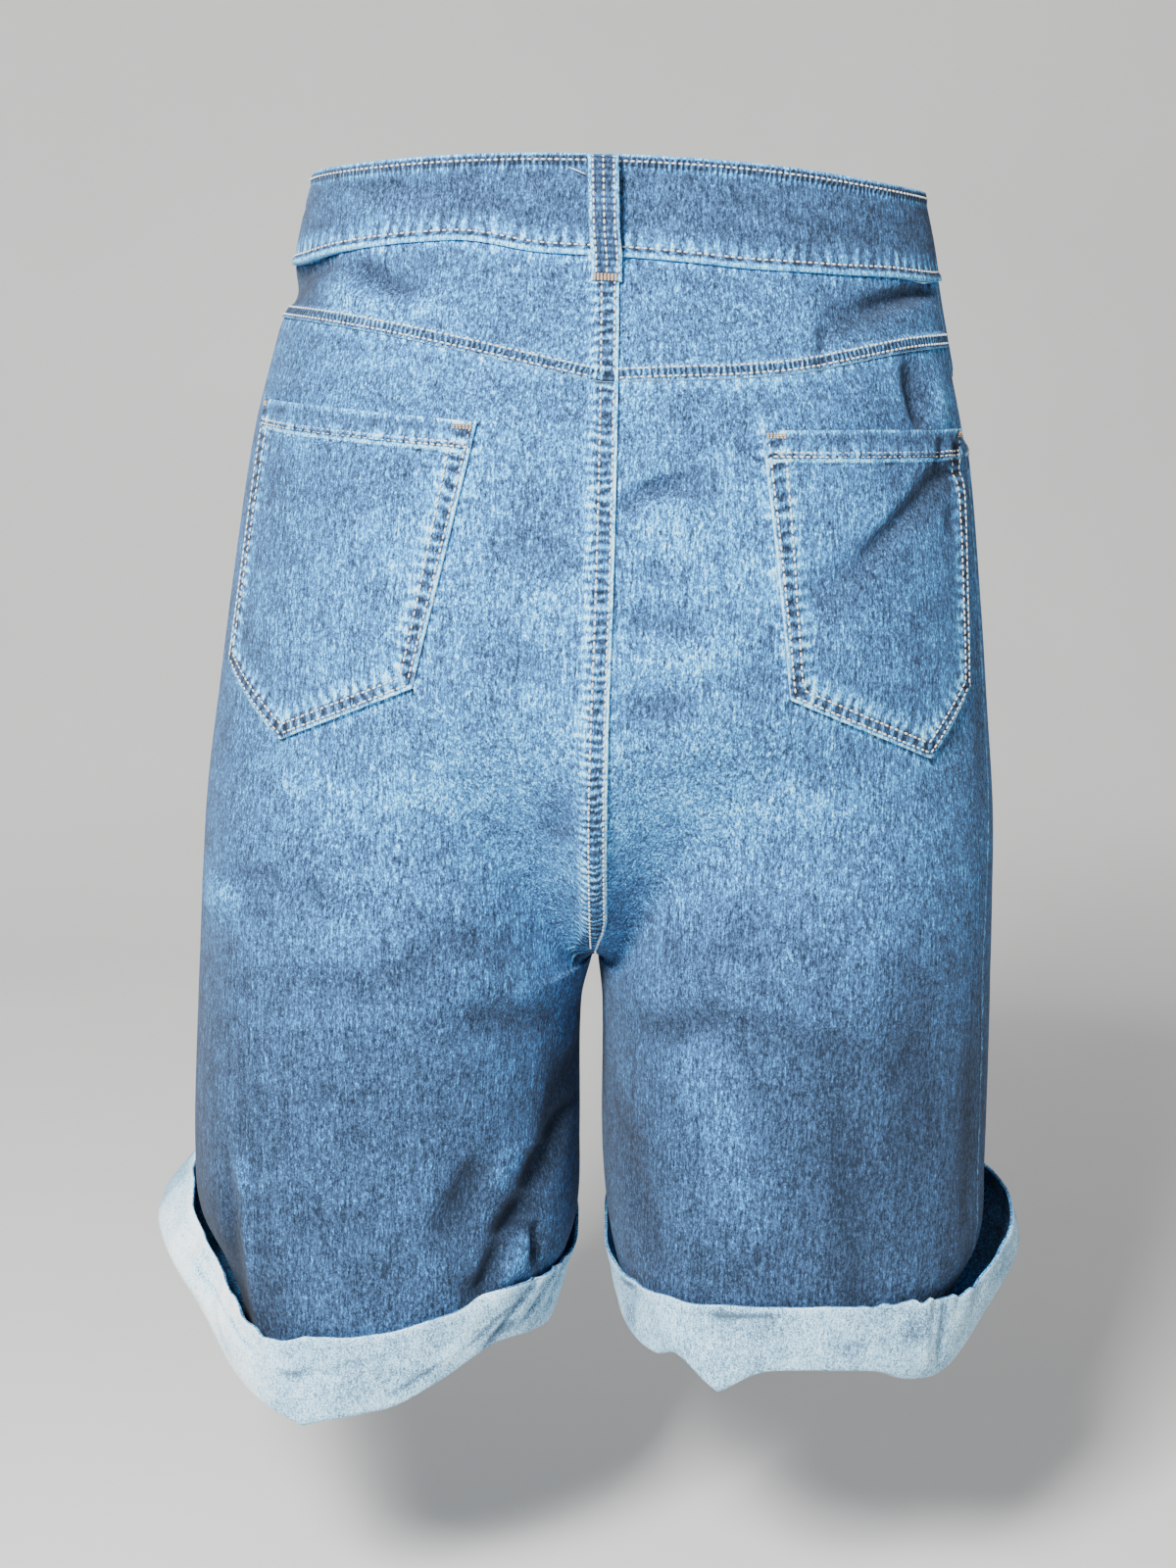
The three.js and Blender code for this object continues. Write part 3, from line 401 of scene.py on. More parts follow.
def level(v):
    """A direction without its rise."""
    return unit(v * (1, 1, 0))


def outward(side, s, z):
    ds, dz = 0.002, 0.6
    across = plain(side, s + ds, z) - plain(side, s - ds, z)
    down = plain(side, s, z - dz) - plain(side, s, z + dz)
    return unit(np.cross(across, down)) * -side


def fold_height(x, z, back):
    height = np.zeros_like(x)
    for here, folds in ((back, BACK_FOLDS), (~back, FRONT_FOLDS)):
        for x0, z0, x1, z1, depth, width in folds:
            dx, dz = x1 - x0, z1 - z0
            along = clamp(((x - x0) * dx + (z - z0) * dz) / (dx * dx + dz * dz))
            away = np.hypot(x - x0 - along * dx, z - z0 - along * dz)
            taper = 0.12 + 0.88 * (1 - np.abs(2 * along - 1) ** 2.5)
            height += np.where(here, depth * bell(away, width) * taper, 0)
    return height


def dents_at(point):
    x, z = point[..., 0], point[..., 2]
    height = 0
    for x0, z0, wide, tall, depth in DENTS:
        height = height + depth * np.exp(-(((x - x0) / wide) ** 2) - ((z - z0) / tall) ** 2)
    return height


def folds_at(side, s, z):
    """Points before the folds, and the folds' height there, which fades at the side and centre seams."""
    point = plain(side, s, z)
    turn = np.where(s > 1, 2 - s, np.abs(s))
    height = fold_height(point[..., 0], z, turn > 0.5)
    calm = smooth((turn - 0.5) / 0.04) + smooth((0.5 - turn) / 0.04)
    flat = smooth(np.minimum(turn, 1 - turn) / 0.03)
    return point, height * calm * flat + dents_at(point)


def cloth(side, s, z, out=0.0):
    """The cloth's outer face with its folds, and any height above it."""
    s, z = np.broadcast_arrays(np.asarray(s, float), np.asarray(z, float))
    point, height = folds_at(side, s, z)
    return point + outward(side, s, z) * (height + out)[..., None]


def sagging(rows):
    s = np.linspace(0.3, 1, 141)
    return s, relax(np.interp(s, *np.transpose(rows)), 24)


SAGS = {key: sagging(rows) for key, rows in SAG_ROWS.items()}


def seam_height(seam, s, side=0):
    """Height of a seam round the waist, with its sag on a side's back if a side is given."""
    turn = clamp(np.where(np.abs(s) > 1, 2 - np.abs(s), np.abs(s)))
    behind = mix(seam["side"], seam["back"], smooth((turn - 0.5) * 2))
    height = np.where(turn >= 0.5, behind, mix(seam["front"], seam["side"], smooth(turn * 2)))
    return height - np.interp(turn, *SAGS["band", side]) if side else height


def yoke_height(s, side):
    even = mix(YOKE_SEAM["side"], YOKE_SEAM["back"], clamp((s - 0.5) * 2) ** YOKE_POINT)
    return even - np.interp(s, *SAGS["yoke", side])


def mouth_edge(z):
    """s of the front pocket's curved mouth at a height."""
    down = clamp((BAND_SEAM["side"] - z) / (BAND_SEAM["side"] - MOUTH["end"]))
    return mix(MOUTH["share"], 0.5, 1 - np.sqrt(1 - down * down))


def hem_fold(side, s):
    return read(CUFFS[side], "fold", s)


def arc_tables(side):
    """Distances from the centre back seam for a grid of heights and places round the body."""
    z = np.arange(-340.0, 25.0, 5.0)
    s = np.linspace(1, 0.4, 241)
    points = plain(side, s[None, :], z[:, None])
    lengths = np.linalg.norm(np.diff(points, axis=1), axis=-1)
    return z, s, np.concatenate([np.zeros((len(z), 1)), np.cumsum(lengths, 1)], 1)


ARCS = {side: arc_tables(side) for side in (LEFT, RIGHT)}


def place_at(side, u, z):
    """s at distances u round the body from the centre back seam, at heights z."""
    heights, s, arcs = ARCS[side]
    u, z = np.broadcast_arrays(np.asarray(u, float), np.asarray(z, float))
    row = (z - heights[0]) / (heights[1] - heights[0])
    low = np.clip(np.floor(row).astype(int), 0, len(heights) - 2)
    result = np.empty(u.shape)
    for k in np.unique(low):
        here = low == k
        below, above = (np.interp(u[here], arc, s) for arc in arcs[k : k + 2])
        result[here] = mix(below, above, clamp(row[here] - k))
    return result


def lapped(distance, z):
    """s of a place on the right half, at a distance from the centre back seam, as reached from the left half."""
    reach = distance * smooth((z - CROTCH_Z - 10) / 24)
    return 2 - place_at(RIGHT, reach, z)


# Meshes.


def add_mesh(name, verts, faces, looks):
    mesh = bpy.data.meshes.new(name)
    mesh.from_pydata(np.asarray(verts).tolist(), [], faces)
    for look in looks:
        mesh.materials.append(look)
    mesh.shade_smooth()
    thing = bpy.data.objects.new(name, mesh)
    bpy.context.scene.collection.objects.link(thing)
    return thing


def add_wall(name, outer, inner, looks, flip, attributes, closed=False):
    """A closed wall of cloth between two grids of points. The second look is for its inside and rims."""
    rows, columns = outer.shape[:2]
    count = rows * columns
    index = np.arange(count).reshape(rows, columns)
    if closed:
        index = np.concatenate([index, index[:, :1]], 1)
        loops = [index[-1], index[0, ::-1]]
    else:
        loops = [np.concatenate([index[:, 0], index[-1, 1:], index[-2::-1, -1], index[0, -2::-1]])]
    face = np.stack([index[:-1, :-1], index[1:, :-1], index[1:, 1:], index[:-1, 1:]], -1).reshape(-1, 4)
    rims = [np.stack([p[1:], p[:-1], p[:-1] + count, p[1:] + count], -1) for p in loops]
    faces = np.concatenate([face, face[:, ::-1] + count, *rims])
    if flip:
        faces = faces[:, ::-1]
    verts = np.concatenate([outer.reshape(-1, 3), inner.reshape(-1, 3)])
    piece = add_mesh(name + "_cloth", verts * MM, faces.tolist(), looks)
    look_index = (np.arange(len(faces)) >= len(face)).astype(np.int32)
    piece.data.polygons.foreach_set("material_index", look_index)
    for key, values in attributes.items():
        both = np.tile(np.ravel(values), 2).astype(np.float32)
        piece.data.attributes.new(key, "FLOAT", "POINT").data.foreach_set("value", both)
    piece.data.update()
    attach(piece, "root")
    return piece


def line_lengths(line):
    return np.concatenate([[0], np.cumsum(np.linalg.norm(np.diff(line, axis=0), axis=1))])


def nearest(points, line):
    """Distance of each point from a line, and how far along the line its nearest place is."""
    lengths = line_lengths(line)
    flat = points.reshape(-1, 3)
    away, along = np.empty(len(flat)), np.empty(len(flat))
    chunk = 4000
    for start in range(0, len(flat), chunk):
        part = flat[start : start + chunk]
        distance = np.linalg.norm(part[:, None] - line[None], axis=2)
        k = distance.argmin(1)
        away[start : start + chunk] = distance[np.arange(len(part)), k]
        along[start : start + chunk] = lengths[k]
    return away.reshape(points.shape[:2]), along.reshape(points.shape[:2])


def resample(line, step):
    lengths = line_lengths(line)
    places = np.linspace(0, lengths[-1], max(2, int(lengths[-1] / step) + 1))
    return np.stack([np.interp(places, lengths, line[:, k]) for k in range(3)], 1)


def seam_marks(points, seams):
    """Vertex attributes for up to three sets of seams: rows of (channel, line, profile)."""
    marks = {"edge_" + channel: np.full(points.shape[:2], FAR) for channel in "abc"}
    marks |= {"phase_" + channel: np.zeros(points.shape[:2]) for channel in "abc"}
    for channel, line, profile in seams:
        edge, phase = "edge_" + channel, "phase_" + channel
        away, along = nearest(points, resample(line, 0.8))
        profile_steps, pitch = PROFILES[profile]
        distances, mapped = np.transpose(profile_steps)
        mapped = np.interp(away, distances, mapped) + np.maximum(0, away - distances[-1])
        closer = mapped < marks[edge]
        marks[edge] = np.where(closer, mapped, marks[edge])
        marks[phase] = np.where(closer, along / pitch, marks[phase])
    return marks


THREADS = {}


def sew(name, line, out, stitch=STITCH):
    """Keeps a row of stitches along a line of points, each a small rounded lozenge, for one mesh of thread."""
    pitch, length, width, height = stitch
    lengths = line_lengths(line)
    count = int(lengths[-1] / pitch)
    starts = np.arange(count) * pitch + 0.1 * pitch
    places = np.stack([starts + pitch * length * share for share in (0, 0.28, 0.72, 1)])

    def at(source):
        return np.stack([np.interp(places, lengths, source[:, k]) for k in range(3)], -1)

    middle, up = at(line), unit(at(out))
    across = unit(np.cross(unit(middle[3] - middle[0])[None], up)) * width / 2
    lift = up * height
    rings = [middle[0][:, None]]
    for k in (1, 2):
        ring = [middle[k] + across[k], middle[k] + lift[k], middle[k] - across[k], middle[k] - lift[k] * 0.4]
        rings.append(np.stack(ring, 1))
    verts = np.concatenate([*rings, middle[3][:, None]], 1)
    one = []
    for k in range(4):
        n = (k + 1) % 4
        one += [(0, 1 + n, 1 + k, 1 + k), (1 + k, 1 + n, 5 + n, 5 + k), (9, 5 + k, 5 + n, 5 + n)]
    faces = np.array(one) + np.arange(count)[:, None, None] * verts.shape[1]
    THREADS.setdefault(name, []).append((verts.reshape(-1, 3), faces.reshape(-1, 4)))


def sew_on(name, side, s, z, out, stitch=STITCH):
    """A row of stitches on the body at some height above its cloth."""
    sew(name, cloth(side, s, z, out), outward(side, s, z), stitch)


def add_threads(name, look):
    """One mesh of the stitches kept for a piece, or None if there are none."""
    if name not in THREADS:
        return None
    verts, faces = zip(*THREADS[name])
    bases = np.cumsum([0] + [len(part) for part in verts[:-1]])
    faces = np.concatenate([part + base for part, base in zip(faces, bases)])
    # The end faces are triangles, whose last corner is there twice.
    faces = [tuple(dict.fromkeys(face)) for face in faces.tolist()]
    thread = add_mesh(name + "_thread", np.concatenate(verts) * MM, faces, [look])
    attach(thread, "root")
    return thread


# Materials.


class Nodes:
    """A short way to write a material's node tree."""

    def __init__(self, name):
        self.material = bpy.data.materials.new(name)
        self.material.use_nodes = True
        self.tree = self.material.node_tree
        self.shader = self.tree.nodes["Principled BSDF"]

    def add(self, kind, inputs, **settings):
        node = self.tree.nodes.new(kind)
        for key, value in settings.items():
            setattr(node, key, value)
        for key, value in inputs.items():
            self.join(value, node.inputs[key])
        return node

    def join(self, value, socket):
        if isinstance(value, bpy.types.NodeSocket):
            self.tree.links.new(value, socket)
        else:
            socket.default_value = value

    def math(self, operation, a, b=0.0, c=0.0):
        return self.add("ShaderNodeMath", {0: a, 1: b, 2: c}, operation=operation).outputs[0]

    def plus(self, a, b):
        return self.math("ADD", a, b)

    def times(self, a, b, c=0.0):
        return self.math("MULTIPLY_ADD", a, b, c)

    def centred(self, value, amount):
        """amount times (value - 0.5)."""
        return self.times(value, amount, -0.5 * amount)

    def scaled(self, scale):
        """Object coordinates in millimetres, times a factor on each axis."""
        place = self.add("ShaderNodeTexCoord", {}).outputs["Object"]
        factors = [k / MM for k in scale]
        return self.add("ShaderNodeMapping", {"Vector": place, "Scale": factors}).outputs[0]

    def noise(self, scale, detail=2.0, roughness=0.5, stretch=(1, 1, 1)):
        inputs = {"Vector": self.scaled(stretch), "Scale": scale, "Detail": detail, "Roughness": roughness}
        return self.add("ShaderNodeTexNoise", inputs).outputs[0]

    def attribute(self, name):
        return self.add("ShaderNodeAttribute", {}, attribute_name=name).outputs["Fac"]

    def between(self, value, low, high, start, end):
        return self.add("ShaderNodeMapRange", {0: value, 1: low, 2: high, 3: start, 4: end}).outputs[0]

    def ramp(self, value, *stops):
        node = self.add("ShaderNodeValToRGB", {0: value})
        elements = node.color_ramp.elements
        while len(elements) < len(stops):
            elements.new(0.5)
        for element, (place, colour) in zip(elements, stops):
            element.position = place
            element.color = (*colour, 1)
        return node.outputs[0]

    def bump(self, height, distance, strength=1.0, normal=None):
        inputs = {"Height": height, "Distance": distance * MM, "Strength": strength}
        if normal is not None:
            inputs["Normal"] = normal
        return self.add("ShaderNodeBump", inputs).outputs[0]

    def finish(self, **values):
        for key, value in values.items():
            self.join(value, self.shader.inputs[key.replace("_", " ")])
        return self.material


def seam_look(n, channel):
    """Colour and height of one set of seams, from the distance and phase kept on the mesh."""
    edge, phase = n.attribute("edge_" + channel), n.attribute("phase_" + channel)
    # The third set's ribs are less even than the others'.
    wander, uneven, least = (2.6, 3.4, -0.8) if channel == "c" else (1.4, 1.4, 0.35)
    turned = n.times(n.plus(phase, n.times(n.noise(0.09), wander)), 2 * math.pi)
    size = n.math("MAXIMUM", n.times(n.noise(0.13), uneven, least), 0.0)
    wave = n.times(n.times(n.math("SINE", turned), 0.5, 0.5), size)
    ragged = n.plus(edge, n.centred(n.noise(0.5, 3.0), 1.1))
    ridge = n.between(ragged, 0.9, 1.6, 1.0, 0.0)
    rising = n.between(ragged, 1.3, 1.8, 0.0, 1.0)
    ladder = n.times(rising, n.between(ragged, 4.1, 5.2, 1.0, 0.0))
    ribs = n.times(n.times(n.between(edge, 4.4, 9.5, 1.0, 0.0), rising), wave)
    colour = n.times(ribs, 0.5, n.times(ladder, -0.36, n.times(ridge, 0.42)))
    return colour, n.times(ridge, 0.7, ribs)


def denim_look(name, shade=0.0):
    """Washed blue twill: vertical slubs, mottling, a fine diagonal weave, seams, and wear with painted light and
    shade from the mesh.
    """
    n = Nodes(name)
    noises = {key: n.noise(*row[:4]) for key, row in GRAIN.items()}
    grain = 0.0
    for key, row in GRAIN.items():
        grain = n.plus(n.centred(noises[key], row[4]), grain)
    x, y, z = n.add("ShaderNodeSeparateXYZ", {0: n.scaled((1, 1, 1))}).outputs
    diagonal = n.times(n.plus(n.plus(x, y), z), 2 * math.pi / TWILL_PITCH)
    twill = n.math("SINE", n.times(noises["mottle"], 5.0, diagonal))
    wear_and_shade = n.attribute("wear_and_shade")
    # The grain is more speckled where the value for wear and painted light is higher, less where it holds painted
    # shade.
    contrast = n.plus(wear_and_shade, 1.13)
    value = n.times(twill, 0.02, n.times(grain, contrast, DENIM_VALUE + shade))
    height = 0.0
    for channel in "abc":
        colour, raised = seam_look(n, channel)
        value = n.plus(value, colour)
        height = n.plus(raised, height)
    colour = n.ramp(n.plus(value, wear_and_shade), *DENIM_TONES)
    weave = n.times(noises["slub"], 0.5, n.times(noises["mottle"], 0.8))
    rough = n.bump(n.times(twill, 0.12, weave), 0.35)
    ribbed = n.bump(height, 0.9, 1.0, rough)
    sheen = {"Sheen_Weight": 0.05, "Sheen_Roughness": 0.6}
    return n.finish(Base_Color=colour, Roughness=0.92, Normal=ribbed, Specular_IOR_Level=0.15, **sheen)


def reverse_look(name):
    """The whitish wrong side of the denim: white weft over blue warp. The mesh's value for wear and painted shade
    and its painted highlight shift it lighter and darker.
    """
    n = Nodes(name)
    fine, slub, cloud = n.noise(1.5, 3.0, 0.75), n.noise(0.9, 2.0, 0.6, (1, 1, 0.4)), n.noise(0.05, 3.0, 0.6)
    value = n.plus(n.plus(n.attribute("wear_and_shade"), n.attribute("painted_highlight")), 0.5)
    for part, amount in ((fine, 2.6), (slub, 1.0), (cloud, 0.8)):
        value = n.plus(value, n.centred(part, amount))
    colour = n.ramp(value, *REVERSE_TONES)
    bump = n.bump(n.times(slub, 0.6, fine), 0.4, 0.8)
    return n.finish(Base_Color=colour, Roughness=0.95, Normal=bump, Sheen_Weight=0.05, Specular_IOR_Level=0.15)


def thread_look(name, colour):
    n = Nodes(name)
    twist = n.noise(2.2, 2.0, 0.6)
    shade = n.ramp(twist, (0.3, tuple(c * 0.6 for c in colour)), (0.7, colour))
    return n.finish(Base_Color=shade, Roughness=0.7, Normal=n.bump(twist, 0.15), Sheen_Weight=0.2)


def brass_look(name):
    n = Nodes(name)
    wear_and_shade = n.noise(0.25, 4.0, 0.6)
    bump = n.bump(n.noise(2.0, 3.0, 0.6), 0.05)
    colour = n.ramp(wear_and_shade, *BRASS_TONES)
    return n.finish(Base_Color=colour, Metallic=1.0, Roughness=n.times(wear_and_shade, 0.25, 0.25), Normal=bump)


DENIM = denim_look("denim")
DENIM_SEAM = denim_look("denim_seam", -0.04)
REVERSE = reverse_look("reverse")
CREAM = thread_look("thread_cream", (0.94, 0.92, 0.85))
TAN = thread_look("thread_tan", (0.68, 0.46, 0.25))
BRASS = brass_look("brass")


# Pieces.


def declare(grid, node, with_pieces=()):
    """Measures the piece's grid laid flat, though the width and length go unused, and hides the CAD part of the
    same name.
    """
    width, length = (
        max(line_lengths(line)[-1] for line in lines[::4]) * MM for lines in (grid, grid.transpose(1, 0, 2))
    )
    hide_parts(node)


def wear_and_shade_at(points, folds):
    """Paler at the seat and darker low down, partly the cloth's own fading and partly painted light and shade.
    Painted shade at the flanks; fold tops paler, partly rubbed and partly painted light, fold troughs in painted
    shade.
    """
    x, z = points[..., 0], points[..., 2]
    # The seat is paler: the cloth's own fading with painted light on top.
    seat = 0.13 * np.exp(-(((np.abs(x) - 20) / 110) ** 2) - ((z + 180) / 115) ** 2)
    # Darker low down: partly the cloth's own tone, partly painted shade where less light reaches the legs, with
    # more painted shade low on the wearer's right.
    low = -0.15 * smooth((-270 - z) / 150)
    low = low - 0.04 * smooth((-300 - z) / 100) * smooth(-x / 60)
    # Painted shade towards both flanks, reaching further on the wearer's right, away from the key light.
    flank_shade = -0.05 * smooth((-x - 40) / 120) - 0.05 * smooth((x - 120) / 60)
    # Fold tops paler, partly rubbed wear and partly painted light; fold troughs darker with painted shade.
    return seat + low + flank_shade + 0.14 * np.tanh(folds / 1.6) + 0.03 * np.clip(folds, -9, 3)


def add_panel(name, side, s, z, seams, lift):
    threads = add_threads(name, CREAM)
    s, z = np.broadcast_arrays(s, z)
    _, folds = folds_at(side, s, z)
    outer, inner = cloth(side, s, z, lift), cloth(side, s, z, lift - CLOTH)
    attributes = {"wear_and_shade": wear_and_shade_at(outer, folds)} | seam_marks(outer, seams)
    piece = add_wall(name, outer, inner, [DENIM, REVERSE], side < 0, attributes)
    declare(outer, name, with_pieces=[threads])


def round_seam(side, height):
    """Points along a cross seam of the back."""
    s = np.linspace(0.5, 1, 240)
    return cloth(side, s, height(s))


def seam_drop(share, top):
    """How far down a centre row a share of its length reaches, where it runs down the seat and under the body."""
    straight = np.maximum(0, top - SEAT_Z)
    radius = SEAT_Z - CROTCH_Z
    start = np.arcsin(clamp((SEAT_Z - top) / radius))
    walked = share * (straight + radius * (math.pi / 2 - start))
    angle = start + np.maximum(0, walked - straight) / radius
    return (np.minimum(walked, straight) + radius * (np.sin(angle) - np.sin(start))) / (top - CROTCH_Z)


def panel_rows(s, top, side, body_rows, leg_rows):
    """Heights of a panel's rows for each column's s: evenly spaced on the cloth, also under the body."""
    centre = smooth((np.abs(s - 0.5) * 2 - 0.4) / 0.6)
    crotch = mix(SIDE_ROW_Z, CROTCH_Z, centre)
    share = steps(body_rows)[:, None]
    body = mix(top, crotch, mix(share, seam_drop(share, top), centre))
    leg = mix(crotch, hem_fold(side, s), steps(leg_rows)[1:, None])
    return np.concatenate([body, leg])


def half_grid(side, columns, row_heights):
    """s and z of a grid over one half of the back. The left half runs on to its lapped edge."""
    wide = np.linspace(BACK_SIDE, STRIP_S, columns)
    if side == RIGHT:
        s = np.concatenate([wide, np.linspace(STRIP_S, BACK_EDGE, 16)[1:]])
        z = row_heights(s)
        return np.broadcast_to(s, z.shape), z
    base = np.concatenate([wide, np.linspace(STRIP_S, 1.0, 24)[1:]])
    over = steps(12)[1:]
    z = row_heights(np.minimum(np.concatenate([base, np.ones(len(over))]), BACK_EDGE))
    end = lapped(FELL["lap"], z[:, -1])
    s = np.empty(z.shape)
    s[:, : len(base)] = base
    s[:, len(base) :] = 1 + (end - 1)[:, None] * over
    return s, z


def fell_lift(side, s, z):
    """Height of the centre back strip on the left half."""
    if side == RIGHT:
        return np.zeros(np.broadcast(s, z).shape)
    fade = smooth((z - CROTCH_Z - 6) / 20)
    return FELL["height"] * fade * smooth((s - place_at(LEFT, FELL["under"], z)) / 0.006 + 0.5)


def fell_seam(name, stitch_top, stitch_end, edge_top):
    """Sews the two rows of the centre back strip, at distances to the left of the seam, and gives its edge."""
    z = np.linspace(stitch_top, stitch_end, 420)
    for offset in FELL["rows"]:
        s = lapped(-offset, z) if offset < 0 else place_at(LEFT, offset, z)
        sew_on(name, LEFT, s, z, FELL["height"] + 0.15)
    z = np.linspace(edge_top, CROTCH_Z + 8, 300)
    return [("a", cloth(LEFT, lapped(FELL["lap"], z), z, FELL["height"]), "wide")]


def add_back(side):
    name = "back_panel_" + NAMES[side]
    s, z = half_grid(side, 98, lambda s: panel_rows(s, yoke_height(s, side) - EDGE_GAP, side, 150, 84))
    seams = [("b", round_seam(side, lambda s: yoke_height(s, side)), "ribs")]
    seams += [("c", line, "ribs") for line in pocket_edges(side)[:3]]
    if side == LEFT:
        top = yoke_height(1.0, LEFT)
        seams += fell_seam(name, top - 1, CROTCH_Z + 14, top)
    add_panel(name, side, s, z, seams, fell_lift(side, s, z))


def add_yoke(side):
    name = "back_yoke_" + NAMES[side]

    def band_seam(s):
        return seam_height(BAND_SEAM, s, side)

    def yoke_seam(s):
        return yoke_height(s, side)

    def rows(s):
        # Close together near the lower edge, which laps over the back panel.
        return mix(band_seam(s) - EDGE_GAP, yoke_seam(s) + EDGE_GAP, steps(46)[:, None] ** 0.8)

    s, z = half_grid(side, 130, rows)
    above = z - yoke_seam(np.minimum(s, 1.0))
    lap = smooth((YOKE_LAP - above) / 1.6)
    for rise in (1.7, 5.4):
        row = np.linspace(0.502, 0.9985, 300)
        height = yoke_seam(row)
        sew(name, cloth(side, row, height + rise, 1.15), outward(side, row, height))
    seams = [("b", round_seam(side, yoke_seam), "narrow"), ("c", round_seam(side, band_seam), "ribs")]
    if side == LEFT:
        seams += fell_seam(name, BAND_SEAM["back"] - 14, YOKE_SEAM["back"] + 1, BAND_SEAM["back"])
    add_panel(name, side, s, z, seams, np.maximum(lap, fell_lift(side, s, z) + 0.3 * lap))


def pocket_corners(side, inset):
    """The pocket's corners in flat distances and heights, moved in by the inset along every edge."""
    corners = np.array(list(POCKETS[side].values()), float)
    middle = corners.mean(0)
    moved = []
    for a, b in zip(corners, np.roll(corners, -1, 0)):
        way = unit(b - a)
        inward = np.array([-way[1], way[0]])
        inward = inward * np.sign(np.dot(middle - a, inward))
        moved.append((a + inward * inset, way))
    result = []
    for k in range(5):
        (p, v), (q, w) = moved[k - 1], moved[k]
        cross = v[0] * w[1] - v[1] * w[0]
        t = ((q[0] - p[0]) * w[1] - (q[1] - p[1]) * w[0]) / cross
        result.append(p + v * t)
    return np.array(result)


def pocket_lines(side, inset):
    """The sewn edges of the pocket, flat, from its inner top round to its outer top."""
    corners = pocket_corners(side, inset)
    return [mix(corners[k], corners[k + 1], steps(90)[:, None]) for k in range(4)]


def pocket_edges(side, out=0.0):
    return [cloth(side, place_at(side, *p.T), p[:, 1], out) for p in pocket_lines(side, 0.0)]


def edge_distance(side, u, z):
    """Distance of flat places from the pocket's sewn edges and from its top edge."""
    corners = pocket_corners(side, 0.0)
    point = np.stack([u, z], -1)

    def from_edge(k):
        a, b = corners[k], corners[(k + 1) % 5]
        t = clamp(((point - a) @ (b - a)) / ((b - a) @ (b - a)))
        return np.linalg.norm(point - a - t[..., None] * (b - a), axis=-1)

    return np.minimum.reduce([from_edge(k) for k in range(4)]), from_edge(4)


def add_back_pocket(side):
    name = "back_pocket_" + NAMES[side]
    top, corner, point, outer, end = (np.array(place, float) for place in POCKETS[side].values())
    # Columns run from the outer side to the inner one.
    across = steps(124)
    point_share = (outer[0] - point[0]) / (outer[0] - corner[0])
    low = np.interp(across, [0, point_share, 1], [outer[1], point[1], corner[1]])
    z = mix(mix(end[1], top[1], across), low, steps(124)[:, None])
    share = clamp((z - top[1]) / (corner[1] - top[1]))
    u = mix(mix(end[0], outer[0], share), mix(top[0], corner[0], share), across)
    s = place_at(side, u, z)
    sewn, hem = edge_distance(side, u, z)
    lift = ON_PANEL + 0.5 * smooth((8.0 - sewn) / 1.5)
    lift = np.maximum(lift, ON_PANEL + 1.0 * smooth((POCKET_HEM + 1.2 - hem) / 1.2))
    # The mouth stands a little open between its corners, and the cloth swells between the seams.
    lift = lift + POCKET_SWELL * np.sin(np.pi * across) ** 2 * np.exp(-hem / SWELL_REACH) + 0.6 * smooth(sewn / 40)
    for near_in, low_in in ((2.1, 2.1), (9.4, 6.0)):
        for k, (high_line, low_line) in enumerate(zip(pocket_lines(side, near_in), pocket_lines(side, low_in))):
            line = low_line
            if k in (0, 3):
                # The inner row stands further from the sides near the top.
                rise = clamp((high_line[:, 1:] - corner[1] - 20) / (top[1] - corner[1] - 20))
                line = mix(low_line, high_line, rise)
                line = line[line[:, 1] < top[1] - 1.5]
            sew_on(name, side, place_at(side, *line.T), line[:, 1], ON_PANEL + 0.75)
    corners = pocket_corners(side, 2.0)

    def hem_row(drop, out):
        row = mix(corners[4], corners[0], steps(120)[:, None]) - np.array([0, drop])
        place = place_at(side, *row.T)
        swell = POCKET_SWELL * np.sin(np.linspace(0, np.pi, 120)) ** 2 * math.exp(-drop / SWELL_REACH)
        return cloth(side, place, row[:, 1], ON_PANEL + out + swell), outward(side, place, row[:, 1])

    for drop in (POCKET_HEM - 4.4, POCKET_HEM - 2.6):
        sew(name, *hem_row(drop, 1.2))
    threads = add_threads(name, CREAM)
    outer_face, inner_face = cloth(side, s, z, lift), cloth(side, s, z, lift - CLOTH)
    seams = [(channel, edge, "border") for channel, edge in zip("abab", pocket_edges(side, ON_PANEL))]
    seams.append(("c", hem_row(POCKET_HEM - 1.0, 1.0)[0], "hem"))
    marks = seam_marks(outer_face, seams)
    # The hem's own puckers lie above its stitches.
    marks["edge_c"] = np.where((hem > POCKET_HEM) & (marks["edge_c"] > 3.0), FAR, marks["edge_c"])
    _, folds = folds_at(side, s, z)
    frayed = 0.34 + (0.2 if side == RIGHT else 0.05) * smooth(0.6 - 2 * across)
    wear_and_shade = wear_and_shade_at(outer_face, folds) + frayed * bell(hem, 1.5) - 0.08 * (hem < POCKET_HEM - 2)
    piece = add_wall(name, outer_face, inner_face, [DENIM, REVERSE], side < 0, {"wear_and_shade": wear_and_shade} | marks)
    declare(outer_face, name, with_pieces=[threads, add_bar_tacks(side)])


def add_bar_tacks(side):
    """Dense short stitches that hold the pocket's top corners."""
    name = "pocket_tacks_" + NAMES[side]
    for corner, inwards, reach in (("top", 1, 10.5), ("end", -1, 6.0)):
        u, top = POCKETS[side][corner]
        for k in range(3):
            row = np.linspace(u + inwards * 1.5, u + inwards * reach, 30)
            z = np.full(30, top - 1.7 - 0.75 * k)
            sew_on(name, side, place_at(side, row, z), z, ON_PANEL + 1.5, POCKET_TACK)
    return add_threads(name, TAN)


def fly_lift(side, s, z):
    if side == RIGHT:
        return np.zeros(np.broadcast(s, z).shape)
    ramp = smooth((FLY["ramp"] - s) / (FLY["ramp"] - FLY["top"]))
    return FLY["lift"] * smooth((z - FLY["end"]) / 24 + 1.5) * ramp


